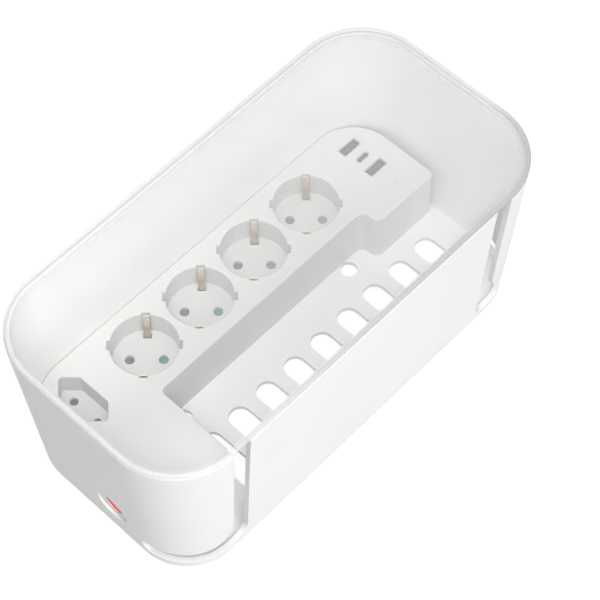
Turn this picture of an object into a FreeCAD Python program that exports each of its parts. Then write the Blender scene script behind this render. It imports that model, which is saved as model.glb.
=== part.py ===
import FreeCAD, Part
import math
import os
import Sketcher
from FreeCAD import Placement, Rotation, Vector

# Cable management box with built-in sockets, in millimetres.
# Origin: middle of the footprint, on the surface that the rubber feet stand on.
# X runs along the box, with the USB ports at +X and the switch in the -X end wall.
# -Y is the near long wall, which has the two cable slots. +Z is up.

SIZES = {
    # tub
    "box_length": 289.4,
    "box_width": 148.0,
    "box_height": 119.6,
    "wall_lean": 7.4,
    "corner_radius": 40.2,
    "wall": 3.2,
    "floor_thick": 3.0,
    "base_raise": 2.0,
    "rim_outer_round": 2.0,
    "rim_inner_round": 0.6,
    "foot_round": 1.5,
    "floor_round": 1.5,
    # floor openings
    "floor_slot_width": 13.5,
    "floor_slot_pitch": 22.15,
    "floor_slot_first_x": -67.65,
    "floor_slot_far_y": -8.3,
    "floor_slot_near_y": -52.0,
    "fixing_hole_diameter": 10.0,
    "fixing_hole_x": 67.4,
    "fixing_hole_y": 7.5,
    # cable slots at the two near corners
    "cable_slot_x": 92.5,
    "cable_slot_width": 11.2,
    "cable_slot_sill": 6.5,
    "cable_slot_tall": 11.0,
    "cable_slot_end_y": -33.0,
    "cable_slot_round": 8.0,
    "flap_round": 18.0,
    "corner_cut_y": -45.0,
    "corner_cut_x": 118.0,
    # lid
    "lid_thick": 2.5,
    "lid_seat_gap": 0.05,
    "lid_round": 1.8,
    "lid_lip_deep": 2.0,
    "lid_lip_thick": 1.6,
    "lid_lip_gap": 0.5,
    # rubber feet
    "foot_lift": 1.0,
    "foot_diameter": 12.0,
    "foot_x": 124.0,
    "foot_y": 40.0,
    # socket cover
    "deck_rise": 37.0,
    "deck_thick": 2.5,
    "deck_gap": 0.1,
    "deck_round": 0.8,
    "skirt_thick": 2.5,
    "deck_front_y": 12.7,
    "usb_front_y": 0.3,
    "step_x": 84.0,
    "step_round": 5.5,
    "deck_right_x": 131.5,
    "deck_right_round": 27.0,
    "right_skirt_end_y": 42.0,
    "block_edge_x": -76.9,
    "block_near_y": -40.0,
    "block_outer_round": 12.0,
    "deck_corner_round": 3.0,
    # round sockets
    "socket_first_x": -62.8,
    "socket_pitch": 42.84,
    "socket_y": 39.9,
    "socket_turn": -45.9,
    "socket_radius": 19.3,
    "socket_deep": 17.0,
    "cup_wall": 3.0,
    "cup_floor": 2.5,
    "socket_rim_round": 0.8,
    "guide_width": 5.5,
    "guide_reach": 20.9,
    "pin_spacing": 19.0,
    "pin_hole_diameter": 5.7,
    # small flat-plug socket
    "euro_x": -109.2,
    "euro_y": 39.6,
    "euro_long": 39.1,
    "euro_side": 22.0,
    "euro_wide": 16.0,
    "euro_corner_round": 2.2,
    "euro_deep": 15.0,
    "euro_cup_wall": 2.4,
    "euro_pin_spacing": 18.7,
    "euro_turn": -90.0,
    "euro_hole_diameter": 5.0,
    # earth clips
    "clip_width": 3.8,
    "clip_thick": 0.8,
    "clip_foot_reach": 16.5,
    "clip_neck_reach": 14.6,
    "clip_tip_reach": 18.9,
    "clip_tip_below_deck": 0.9,
    "clip_neck_run": 2.6,
    "clip_groove_width": 4.8,
    "clip_groove_reach": 20.6,
    "clip_hole_inner": 13.8,
    "clip_hole_outer": 16.6,
    # contact tray on the tub floor
    "tray_plate": 2.5,
    "tray_left_x": -122.0,
    "tray_right_x": 87.0,
    "tray_near_y": 20.4,
    "tray_far_y": 55.4,
    "tray_bay_right_x": -96.0,
    "tray_bay_near_y": 12.6,
    "tray_round": 2.0,
    "tray_pin_hole_diameter": 6.4,
    "post_radius": 1.2,
    "post_offset": 4.4,
    "euro_post_offset": 2.9,
    "rib_thick": 3.0,
    # contact strips
    "strip_width": 4.4,
    "strip_thick": 0.8,
    "strip_rise": 4.1,
    "strip_end": 6.0,
    "live_strip_right_x": 79.0,
    "neutral_strip_right_x": 85.0,
    "sleeve_outer": 6.6,
    "sleeve_bore": 4.8,
    "sleeve_foot": 1.5,
    "sleeve_drop": 0.5,
    "earth_strip_width": 3.2,
    "earth_strip_left_x": -88.0,
    "earth_strip_right_x": 74.0,
    # shutters and their springs
    "shutter_travel": 5.6,
    "shutter_thick": 1.5,
    "shutter_width": 9.0,
    "shutter_gap": 0.2,
    "shutter_seat_gap": 0.3,
    "shutter_hole_diameter": 5.4,
    "shutter_cover": 0.2,
    "tab_start": 13.2,
    "tab_thick": 1.4,
    "tab_width": 3.6,
    "tab_drop": 4.0,
    "spring_length": 8.6,
    "spring_gap": 0.1,
    "spring_radius": 1.3,
    "spring_wire": 0.4,
    "stop_thick": 1.6,
    # switch in the end wall
    "switch_y": -12.3,
    "switch_rise": 26.8,
    "switch_recess_radius": 11.0,
    "switch_recess_deep": 2.0,
    "bezel_radius": 10.6,
    "bezel_thick": 0.6,
    "bezel_round": 0.4,
    "switch_body_radius": 8.8,
    "switch_hole_gap": 0.3,
    "switch_body_long": 18.0,
    "switch_well_radius": 6.4,
    "switch_well_deep": 11.0,
    "rocker_radius": 5.9,
    "rocker_recess": 0.2,
    "rocker_thick": 5.0,
    "rocker_tilt": 4.0,
    "rocker_rim_bevel": 0.4,
    "rocker_dish": 0.6,
    "pivot_deep": 4.6,
    "pivot_radius": 1.0,
    "pivot_long": 15.6,
    "pivot_clearance": 0.05,
    "lamp_radius": 1.5,
    "lamp_long": 2.6,
    "blade_long": 9.0,
    "blade_width": 4.8,
    "blade_thick": 0.8,
    "blade_pitch": 6.0,
    # power board with the USB ports
    "usb_x": 111.7,
    "usb_middle_y": 38.35,
    "usb_pitch": 10.35,
    "usb_a_long": 13.2,
    "usb_a_wide": 5.7,
    "usb_c_long": 9.0,
    "usb_c_wide": 3.3,
    "usb_shell": 0.4,
    "usb_round": 0.6,
    "usb_window_gap": 0.3,
    "usb_below_deck": 0.4,
    "usb_base": 3.0,
    "tongue_thick": 1.4,
    "tongue_end_gap": 1.2,
    "tongue_side_gap": 1.0,
    "slim_tongue_thick": 0.7,
    "board_left_x": 96.0,
    "board_right_x": 127.5,
    "board_near_y": 6.0,
    "board_far_y": 53.0,
    "board_round": 2.0,
    "board_thick": 1.6,
    "board_rise": 19.5,
    "board_post_radius": 2.3,
    "board_post_left_x": 99.2,
    "board_post_right_x": 124.2,
    "board_post_near_y": 10.0,
    "board_post_far_y": 49.2,
    "board_post_right_far_y": 45.0,
    "board_screw_radius": 1.1,
    "board_screw_head_radius": 2.1,
    "board_screw_head": 1.6,
    "board_screw_long": 7.0,
    "transformer_x": 112.0,
    "transformer_y": 14.5,
    "transformer_long": 16.0,
    "transformer_wide": 12.0,
    "transformer_tall": 10.5,
    "winding_wide": 15.0,
    "winding_margin": 2.4,
    "capacitor_x": 100.2,
    "capacitor_first_y": 20.0,
    "capacitor_pitch": 8.0,
    "capacitor_radius": 3.1,
    "capacitor_tall": 10.0,
    "chip_x": 123.2,
    "chip_side": 5.0,
    "chip_thick": 1.2,
    # screws from below
    "boss_radius": 3.5,
    "boss_near_y": 19.0,
    "boss_far_y": 58.6,
    "boss_left_x": -87.0,
    "boss_left_y": -30.0,
    "boss_right_x": 91.5,
    "boss_right_y": 9.0,
    "screw_radius": 1.7,
    "screw_hole_gap": 0.3,
    "screw_long": 12.0,
    "screw_head_radius": 3.2,
    "screw_head": 1.8,
    "drive_radius": 1.3,
    "drive_deep": 1.0,
    "boss_gap": 0.5,
    # supply inlet
    "gland_x": -103.0,
    "gland_rise": 9.0,
    "gland_radius": 4.9,
    "gland_hole_gap": 0.1,
    "gland_flange_radius": 6.5,
    "gland_flange_thick": 3.0,
    "gland_inside": 6.5,
    "gland_bore": 6.5,
    "nut_across": 13.5,
    "nut_thick": 3.0,
    "nut_clearance": 0.08,
    "block_x": -101.0,
    "block_y": -17.0,
    "block_long": 27.0,
    "block_wide": 14.0,
    "block_tall": 12.0,
    "block_pitch": 9.0,
    "block_screw_radius": 2.0,
    "block_screw_deep": 3.0,
    "lead_radius": 1.4,
    "thin_lead_radius": 0.9,
    "lead_end_gap": 0.15,
    "lead_out": 8.0,
    "lead_high": 15.0,
    "live_lead_x": -101.0,
    "switched_lead_x": -92.0,
    "switched_lead_rise": 20.0,
    "neutral_lead_x": -100.0,
    "earth_lead_x": -86.0,
    "earth_lead_rise": 11.0,
    "board_lead_rise": 14.0,
    "board_lead_x": 103.0,
    # cuts run past the faces that they leave
    "overrun": 8.0,
}

SOCKETS = 4
FLOOR_SLOTS = 9
SPRING_TURNS = 6

# Edges are picked by where they lie, to this in millimetres
EDGE_SLACK = 0.01

doc = FreeCAD.newDocument("cable_management_box")
sheet = doc.addObject("Spreadsheet::Sheet", "Sizes")
for row, (alias, number) in enumerate(SIZES.items(), 1):
    sheet.set("A%d" % row, alias)
    sheet.set("B%d" % row, str(number))
    sheet.setAlias("B%d" % row, alias)
doc.recompute()


class Size:
    """A number together with the sheet expression that gives it."""

    def __init__(self, value, text):
        self.value = value
        self.text = text

    def __add__(self, other):
        other = as_size(other)
        return Size(self.value + other.value, "(%s + %s)" % (self.text, other.text))

    def __sub__(self, other):
        other = as_size(other)
        return Size(self.value - other.value, "(%s - %s)" % (self.text, other.text))

    def __mul__(self, other):
        other = as_size(other)
        return Size(self.value * other.value, "(%s * %s)" % (self.text, other.text))

    def __truediv__(self, other):
        other = as_size(other)
        return Size(self.value / other.value, "(%s / %s)" % (self.text, other.text))

    def __rmul__(self, other):
        return as_size(other) * self

    def __neg__(self):
        return Size(-self.value, "(-%s)" % self.text)


def as_size(number):
    """A plain count or share joins in as it is."""
    return number if isinstance(number, Size) else Size(float(number), repr(float(number)))


def size(alias):
    """One named size, read from the sheet."""
    return Size(float(sheet.get(alias)), "Sizes." + alias)


def cosine(angle):
    return Size(math.cos(math.radians(angle.value)), "cos(%s)" % angle.text)


def sine(angle):
    return Size(math.sin(math.radians(angle.value)), "sin(%s)" % angle.text)


def arc_tangent(ratio):
    return Size(math.degrees(math.atan(ratio.value)), "atan(%s)" % ratio.text)


NONE = as_size(0)

# Sizes that several pieces share
box_length = size("box_length")
box_width = size("box_width")
box_height = size("box_height")
wall = size("wall")
wall_lean = size("wall_lean")
corner_radius = size("corner_radius")
overrun = size("overrun")
foot_lift = size("foot_lift")
floor_under = foot_lift + size("base_raise")
floor_top = floor_under + size("floor_thick")
rim_z = foot_lift + box_height
deck_rise = size("deck_rise")
deck_thick = size("deck_thick")
deck_under = deck_rise - deck_thick
skirt = size("skirt_thick")
socket_x = size("socket_first_x")
socket_y = size("socket_y")
socket_pitch = size("socket_pitch")
socket_turn = size("socket_turn")
socket_deep = size("socket_deep")
cup_floor = size("cup_floor")
cup_under = deck_rise - socket_deep - cup_floor
cup_radius = size("socket_radius") + size("cup_wall")
pin_reach = size("pin_spacing") / 2
euro_x = size("euro_x")
euro_y = size("euro_y")
euro_pin_reach = size("euro_pin_spacing") / 2
euro_cup_under = deck_rise - size("euro_deep") - cup_floor
tray_plate = size("tray_plate")
pin_hole_x = pin_reach * cosine(socket_turn)
pin_hole_y = pin_reach * sine(socket_turn)
live_y = socket_y - pin_hole_y
neutral_y = socket_y + pin_hole_y
strip_thick = size("strip_thick")
strip_base = tray_plate + size("strip_rise")
strip_top = strip_base + strip_thick
shutter_thick = size("shutter_thick")
shutter_drop = size("shutter_gap") + shutter_thick
spring_start = size("tab_start") + size("tab_thick") + size("spring_gap")
stop_reach = spring_start + size("spring_length") + size("spring_gap")
tilt = arc_tangent(wall_lean / box_height)
board_top = size("board_rise") + size("board_thick")
boss_radius = size("boss_radius")
screw_radius = size("screw_radius")
lead_radius = size("lead_radius")
thin_lead_radius = size("thin_lead_radius")


def lean_at(rise):
    """How far the outer wall stands inside the rim at a height above the wall's foot."""
    return wall_lean * (box_height - rise) / box_height


# The bosses stand between the first and second and between the third and fourth sockets,
# in the block beside the channel and beside the power board.
BOSSES = [
    (socket_x + socket_pitch / 2, size("boss_near_y")),
    (socket_x + socket_pitch * 5 / 2, size("boss_near_y")),
    (socket_x + socket_pitch / 2, size("boss_far_y")),
    (socket_x + socket_pitch * 5 / 2, size("boss_far_y")),
    (size("boss_left_x"), size("boss_left_y")),
    (size("boss_right_x"), size("boss_right_y")),
]

BOARD_POSTS = [
    (size("board_post_left_x"), size("board_post_near_y")),
    (size("board_post_right_x"), size("board_post_near_y")),
    (size("board_post_left_x"), size("board_post_far_y")),
    (size("board_post_right_x"), size("board_post_right_far_y")),
]

# The two wide ports stand outside, the slim round-ended one between them.
USB_PORTS = [
    (size("usb_middle_y") - size("usb_pitch"), size("usb_a_long"), size("usb_a_wide"), size("usb_round")),
    (size("usb_middle_y"), size("usb_c_long"), size("usb_c_wide"), None),
    (size("usb_middle_y") + size("usb_pitch"), size("usb_a_long"), size("usb_a_wide"), size("usb_round")),
]

parts = []


# Helpers for bodies and sketches

def place(piece, x, y, z, angle=None, axis=Vector(0, 0, 1)):
    """Place a piece by expressions, turned by an angle in degrees about its own axis."""
    turn = Rotation(axis, angle.value) if angle else Rotation()
    piece.Placement = Placement(Vector(x.value, y.value, z.value), turn)
    for name, length in (("x", x), ("y", y), ("z", z)):
        piece.setExpression("Placement.Base." + name, length.text)
    if angle:
        piece.setExpression("Placement.Rotation.Angle", angle.text)


def new_body(label, x=NONE, y=NONE, z=NONE, angle=None, axis=Vector(0, 0, 1)):
    body = doc.addObject("PartDesign::Body", label)
    body.Label = label
    body.AllowCompound = True
    place(body, x, y, z, angle, axis)
    parts.append(body)
    return body


def plane_of(body, role):
    return next(item for item in body.Origin.OriginFeatures if item.Role == role)


def new_sketch(body, name, role="XY_Plane", x=NONE, y=NONE, z=NONE, turn=NONE):
    """A sketch on an origin plane, shifted in the plane by x and y, off it by z, and turned in it."""
    sketch = body.newObject("Sketcher::SketchObject", body.Label + "_" + name)
    sketch.AttachmentSupport = [(plane_of(body, role), "")]
    sketch.MapMode = "FlatFace"
    sketch.AttachmentOffset = Placement(Vector(x.value, y.value, z.value), Rotation(Vector(0, 0, 1), turn.value))
    for axis_name, length in (("x", x), ("y", y), ("z", z)):
        sketch.setExpression("AttachmentOffset.Base." + axis_name, length.text)
    if turn is not NONE:
        sketch.setExpression("AttachmentOffset.Rotation.Angle", turn.text)
    return sketch


class Bend:
    """One corner of an outline: a sharp point, or an arc from start to end about its centre."""

    def __init__(self, start, end=None, centre=None, left=True):
        self.start = start
        self.end = end or start
        self.centre = centre
        self.left = left


def flat(point):
    return Vector(point[0].value, point[1].value, 0)


def round_corners(corners):
    """Bends for right-angled corners given as (x, y) or (x, y, radius)."""
    bends = []
    for index, corner in enumerate(corners):
        if len(corner) == 2 or corner[2] is None:
            bends.append(Bend((corner[0], corner[1])))
            continue
        x, y, radius = corner
        before = flat(corners[index - 1]) - flat(corner)
        after = flat(corners[(index + 1) % len(corners)]) - flat(corner)
        steps = []
        for way in (before, after):
            along_x = abs(way.x) > abs(way.y)
            sign = math.copysign(1, way.x if along_x else way.y)
            steps.append((sign, 0) if along_x else (0, sign))
        start = (x + radius * steps[0][0], y + radius * steps[0][1])
        end = (x + radius * steps[1][0], y + radius * steps[1][1])
        centre = (start[0] + radius * steps[1][0], start[1] + radius * steps[1][1])
        left = before.cross(after).z < 0
        bends.append(Bend(start, end, centre, left))
    return bends


def draw(sketch, bends):
    """Draw a closed outline through the bends, each of its points bound to its sizes."""
    first = sketch.GeometryCount
    shapes = []
    arcs = {}
    for index, bend in enumerate(bends):
        if bend.centre:
            begin, finish = (bend.start, bend.end) if bend.left else (bend.end, bend.start)
            centre = flat(bend.centre)
            spoke = flat(begin) - centre
            circle = Part.Circle(centre, Vector(0, 0, 1), spoke.Length)
            other = flat(finish) - centre
            shapes.append(Part.ArcOfCircle(circle, math.atan2(spoke.y, spoke.x), math.atan2(other.y, other.x)))
            arcs[index] = first + len(shapes) - 1
    lines = {}
    for index, bend in enumerate(bends):
        following = bends[(index + 1) % len(bends)]
        shapes.append(Part.LineSegment(flat(bend.end), flat(following.start)))
        lines[index] = first + len(shapes) - 1
    sketch.addGeometry(shapes)
    places = []
    joints = []
    for index, bend in enumerate(bends):
        line_in = lines[index - 1 if index else len(bends) - 1]
        line_out = lines[index]
        if bend.centre:
            start_point, end_point = (1, 2) if bend.left else (2, 1)
            places.append((arcs[index], start_point, bend.start))
            places.append((arcs[index], end_point, bend.end))
            joints.append(Sketcher.Constraint("Tangent", line_in, 2, arcs[index], start_point))
            joints.append(Sketcher.Constraint("Coincident", line_out, 1, arcs[index], end_point))
        else:
            places.append((line_out, 1, bend.start))
            joints.append(Sketcher.Constraint("Coincident", line_in, 2, line_out, 1))
    sketch.addConstraint(joints)
    bind_points(sketch, places)


def bind_points(sketch, places):
    """Hold points of a sketch at their sizes."""
    for geometry, point, position in places:
        for way, length in zip(("DistanceX", "DistanceY"), position):
            number = sketch.addConstraint(Sketcher.Constraint(way, geometry, point, length.value))
            sketch.setExpression("Constraints[%d]" % number, length.text)


def draw_circle(sketch, radius, x=NONE, y=NONE):
    centre = flat((x, y))
    index = sketch.addGeometry(Part.Circle(centre, Vector(0, 0, 1), radius.value))
    number = sketch.addConstraint(Sketcher.Constraint("Radius", index, radius.value))
    sketch.setExpression("Constraints[%d]" % number, radius.text)
    bind_points(sketch, [(index, 3, (x, y))])


def draw_box(sketch, left, right, near, far, radius=None):
    corners = [(left, near, radius), (right, near, radius), (right, far, radius), (left, far, radius)]
    draw(sketch, round_corners(corners))


def draw_centred_box(sketch, long, wide, radius=None, x=NONE, y=NONE):
    draw_box(sketch, x - long / 2, x + long / 2, y - wide / 2, y + wide / 2, radius)


def draw_slot(sketch, start, end, radius, upright=False):
    """A round-ended slot along X, or along Y when upright; start and end are its arc centres."""
    across = (radius, NONE) if upright else (NONE, -radius)
    near_side = [(point[0] + across[0], point[1] + across[1]) for point in (start, end)]
    far_side = [(point[0] - across[0], point[1] - across[1]) for point in (start, end)]
    draw(sketch, [Bend(near_side[1], far_side[1], end), Bend(far_side[0], near_side[0], start)])


def pad(body, sketch, length, down=False, middle=False):
    feature = body.newObject("PartDesign::Pad", sketch.Name + "_pad")
    feature.Profile = sketch
    feature.setExpression("Length", length.text)
    feature.Length = length.value
    feature.Reversed = down
    if middle:
        feature.SideType = "Symmetric"
    return feature


def pocket(body, sketch, length, up=False, middle=False):
    """Cut against the sketch's normal, or along it when up."""
    feature = body.newObject("PartDesign::Pocket", sketch.Name + "_pocket")
    feature.Profile = sketch
    feature.setExpression("Length", length.text)
    feature.Length = length.value
    feature.Reversed = up
    if middle:
        feature.SideType = "Symmetric"
    return feature


def revolve(body, sketch, axis_name="H_Axis", cut=False):
    """A full turn about an axis of the sketch, added or cut away."""
    kind = "Groove" if cut else "Revolution"
    feature = body.newObject("PartDesign::" + kind, sketch.Name + "_" + kind.lower())
    feature.Profile = sketch
    feature.ReferenceAxis = (sketch, [axis_name])
    feature.Angle = 360
    return feature


def repeat(body, originals, spacing, count):
    """Copy features along X."""
    feature = body.newObject("PartDesign::LinearPattern", originals[0].Name + "_row")
    feature.Originals = originals
    feature.Direction = (plane_of(body, "X_Axis"), [""])
    feature.Occurrences = count
    feature.setExpression("Length", (spacing * (count - 1)).text)
    feature.Length = spacing.value * (count - 1)
    body.Tip = feature
    return feature


def mirror(body, originals):
    """Copy features to the other side of the YZ plane."""
    feature = body.newObject("PartDesign::Mirrored", originals[0].Name + "_mirror")
    feature.Originals = originals
    feature.MirrorPlane = (plane_of(body, "YZ_Plane"), [""])
    body.Tip = feature
    return feature


def soften(body, kind, amount, wanted):
    """Round or bevel the edges that a test picks."""
    doc.recompute()
    base = body.Tip
    names = ["Edge%d" % (index + 1) for index, edge in enumerate(base.Shape.Edges) if wanted(edge)]
    feature = body.newObject("PartDesign::" + kind, base.Name + "_" + kind.lower())
    feature.Base = (base, names)
    measure = "Radius" if kind == "Fillet" else "Size"
    setattr(feature, measure, amount.value)
    feature.setExpression(measure, amount.text)
    body.Tip = feature
    return feature


def lies_at(edge, height):
    """True for an edge wholly at one height."""
    box = edge.BoundBox
    return abs(box.ZMin - height) < EDGE_SLACK and abs(box.ZMax - height) < EDGE_SLACK


# Tub

def wall_outline(rise, inset):
    """The wall's outline at a height above its foot, moved inwards by an inset."""
    inward = lean_at(rise) + inset
    half_long = box_length / 2 - inward
    half_wide = box_width / 2 - inward
    radius = corner_radius - inward
    return -half_long, half_long, -half_wide, half_wide, radius


def make_tub():
    body = new_body("tub", z=foot_lift)
    base = new_sketch(body, "base")
    draw_box(base, *wall_outline(NONE, NONE))
    rim = new_sketch(body, "rim", z=box_height)
    draw_box(rim, *wall_outline(box_height, NONE))
    walls = body.newObject("PartDesign::AdditiveLoft", "tub_walls")
    walls.Profile = base
    walls.Sections = [rim]
    walls.Ruled = True

    floor_rise = size("base_raise") + size("floor_thick")
    inner_floor = new_sketch(body, "inner_floor", z=floor_rise)
    draw_box(inner_floor, *wall_outline(floor_rise, wall))
    inner_rim = new_sketch(body, "inner_rim", z=box_height)
    draw_box(inner_rim, *wall_outline(box_height, wall))
    hollow = body.newObject("PartDesign::SubtractiveLoft", "tub_hollow")
    hollow.Profile = inner_floor
    hollow.Sections = [inner_rim]
    hollow.Ruled = True

    under = new_sketch(body, "under")
    draw_box(under, *wall_outline(NONE, wall))
    pocket(body, under, size("base_raise"), up=True)

    def runs_outside(edge, rise):
        """True for an edge at a height that lies on the outer half of the wall."""
        if not lies_at(edge, rise.value):
            return False
        inward = lean_at(rise) + wall / 2
        box = edge.BoundBox
        if box.XLength > EDGE_SLACK and box.YLength > EDGE_SLACK:
            return edge.Curve.Radius > (corner_radius - inward).value
        reach_x = max(abs(box.XMin), abs(box.XMax))
        reach_y = max(abs(box.YMin), abs(box.YMax))
        return reach_x > (box_length / 2 - inward).value or reach_y > (box_width / 2 - inward).value

    def at_inner_rim(edge):
        return lies_at(edge, box_height.value) and not runs_outside(edge, box_height)

    soften(body, "Fillet", size("rim_inner_round"), at_inner_rim)
    soften(body, "Fillet", size("rim_outer_round"), lambda edge: runs_outside(edge, box_height))
    soften(body, "Fillet", size("floor_round"), lambda edge: lies_at(edge, floor_rise.value))
    soften(body, "Fillet", size("foot_round"), lambda edge: runs_outside(edge, NONE))

    # floor slots
    slot = new_sketch(body, "floor_slot")
    slot_radius = size("floor_slot_width") / 2
    slot_x = size("floor_slot_first_x")
    draw_slot(slot, (slot_x, size("floor_slot_near_y") + slot_radius),
              (slot_x, size("floor_slot_far_y") - slot_radius), slot_radius, upright=True)
    repeat(body, [pocket(body, slot, floor_rise + overrun, up=True)], size("floor_slot_pitch"), FLOOR_SLOTS)

    # fixing holes and screw holes
    holes = new_sketch(body, "floor_holes")
    for side in (-1, 1):
        draw_circle(holes, size("fixing_hole_diameter") / 2, size("fixing_hole_x") * side, size("fixing_hole_y"))
    for x, y in BOSSES:
        draw_circle(holes, screw_radius + size("screw_hole_gap"), x, y)
    pocket(body, holes, floor_rise + overrun, up=True)

    # stepped hole for the switch, square to the leaning wall
    switch_rise = size("switch_rise")
    recess_radius = size("switch_recess_radius")
    hole_radius = size("switch_body_radius") + size("switch_hole_gap")
    switch_hole = new_sketch(body, "switch_hole", "XZ_Plane", -(box_length / 2 - lean_at(switch_rise)),
                             switch_rise, -size("switch_y"), tilt)
    draw(switch_hole, [Bend(point) for point in (
        (-overrun, NONE),
        (wall + overrun, NONE),
        (wall + overrun, hole_radius),
        (size("switch_recess_deep"), hole_radius),
        (size("switch_recess_deep"), recess_radius),
        (-overrun, recess_radius),
    )])
    revolve(body, switch_hole, cut=True)

    # cable slots: down from the rim, then round the corner just above the foot
    inner_x = -size("cable_slot_x")
    outer_x = inner_x - size("cable_slot_width")
    sill = size("cable_slot_sill")
    head = sill + size("cable_slot_tall")
    beyond_x = -(box_length / 2 + overrun)
    down_slot = new_sketch(body, "cable_slot", "XZ_Plane", z=-size("corner_cut_y"))
    draw(down_slot, round_corners([
        (inner_x, box_height + overrun),
        (outer_x, box_height + overrun),
        (outer_x, head, size("flap_round")),
        (beyond_x, head),
        (beyond_x, sill),
        (inner_x, sill, size("cable_slot_round")),
    ]))
    down_cut = pocket(body, down_slot, box_width / 2 + overrun + size("corner_cut_y"), up=True)
    end_slot = new_sketch(body, "end_slot", "YZ_Plane", z=-size("corner_cut_x"))
    end_radius = size("cable_slot_tall") / 2
    end_y = size("cable_slot_end_y") - end_radius
    draw(end_slot, [
        Bend((size("corner_cut_y") - overrun, sill)),
        Bend((end_y, sill), (end_y, head), (end_y, sill + end_radius)),
        Bend((size("corner_cut_y") - overrun, head)),
    ])
    end_cut = pocket(body, end_slot, box_length / 2 + overrun - size("corner_cut_x"))
    mirror(body, [down_cut, end_cut])


# Lid

def make_lid():
    body = new_body("lid", z=rim_z + size("lid_seat_gap"))
    plate = new_sketch(body, "plate")
    draw_box(plate, *wall_outline(box_height, NONE))
    pad(body, plate, size("lid_thick"))
    soften(body, "Fillet", size("lid_round"), lambda edge: lies_at(edge, size("lid_thick").value))
    lip = new_sketch(body, "lip")
    lip_inset = wall + size("lid_lip_gap")
    draw_box(lip, *wall_outline(box_height, lip_inset))
    draw_box(lip, *wall_outline(box_height, lip_inset + size("lid_lip_thick")))
    pad(body, lip, size("lid_lip_deep"), down=True)


def make_feet():
    body = new_body("rubber_feet")
    feet = new_sketch(body, "discs")
    for side_x in (-1, 1):
        for side_y in (-1, 1):
            draw_circle(feet, size("foot_diameter") / 2, size("foot_x") * side_x, size("foot_y") * side_y)
    pad(body, feet, floor_under)


# Socket cover, whose underside rests on the tub floor

def cover_outline():
    """The deck's outline: the tray side, then along the tub's inner wall."""
    rise = size("base_raise") + size("floor_thick") + deck_under
    left, _, _, far, radius = wall_outline(rise, wall + size("deck_gap"))
    corner = size("deck_corner_round")
    step = size("step_round")
    return [
        (left, size("block_near_y"), size("block_outer_round")),
        (size("block_edge_x"), size("block_near_y"), corner),
        (size("block_edge_x"), size("deck_front_y"), corner),
        (size("step_x"), size("deck_front_y"), step),
        (size("step_x"), size("usb_front_y"), step),
        (size("deck_right_x"), size("usb_front_y"), corner),
        (size("deck_right_x"), far, size("deck_right_round")),
        (left, far, radius),
    ]


def cavity_outline():
    """The space under the deck, which leaves the skirt on the tray side."""
    beyond_left = -(box_length / 2)
    beyond_far = box_width / 2
    corner = size("deck_corner_round") + skirt
    step = size("step_round")
    return [
        (beyond_left, size("block_near_y") + skirt),
        (size("block_edge_x") - skirt, size("block_near_y") + skirt),
        (size("block_edge_x") - skirt, size("deck_front_y") + skirt, corner),
        (size("step_x") + skirt, size("deck_front_y") + skirt, step + skirt),
        (size("step_x") + skirt, size("usb_front_y") + skirt, step - skirt),
        (size("deck_right_x") - skirt, size("usb_front_y") + skirt),
        (size("deck_right_x") - skirt, size("right_skirt_end_y")),
        (size("deck_right_x") + overrun, size("right_skirt_end_y")),
        (size("deck_right_x") + overrun, beyond_far),
        (beyond_left, beyond_far),
    ]


def hexagon(long, side, wide):
    """Corners of the small socket's well, long along Y with its tips at the ends."""
    return [Bend(point) for point in (
        (euro_x, euro_y - long / 2),
        (euro_x + wide / 2, euro_y - side / 2),
        (euro_x + wide / 2, euro_y + side / 2),
        (euro_x, euro_y + long / 2),
        (euro_x - wide / 2, euro_y + side / 2),
        (euro_x - wide / 2, euro_y - side / 2),
    )]


def draw_window(sketch, port, gap):
    """One USB window, round-cornered or round-ended."""
    y, long, wide, radius = port
    x = size("usb_x")
    if radius:
        draw_centred_box(sketch, long + gap * 2, wide + gap * 2, radius + gap, x, y)
        return
    reach = (long - wide) / 2
    draw_slot(sketch, (x - reach, y), (x + reach, y), wide / 2 + gap)


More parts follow.
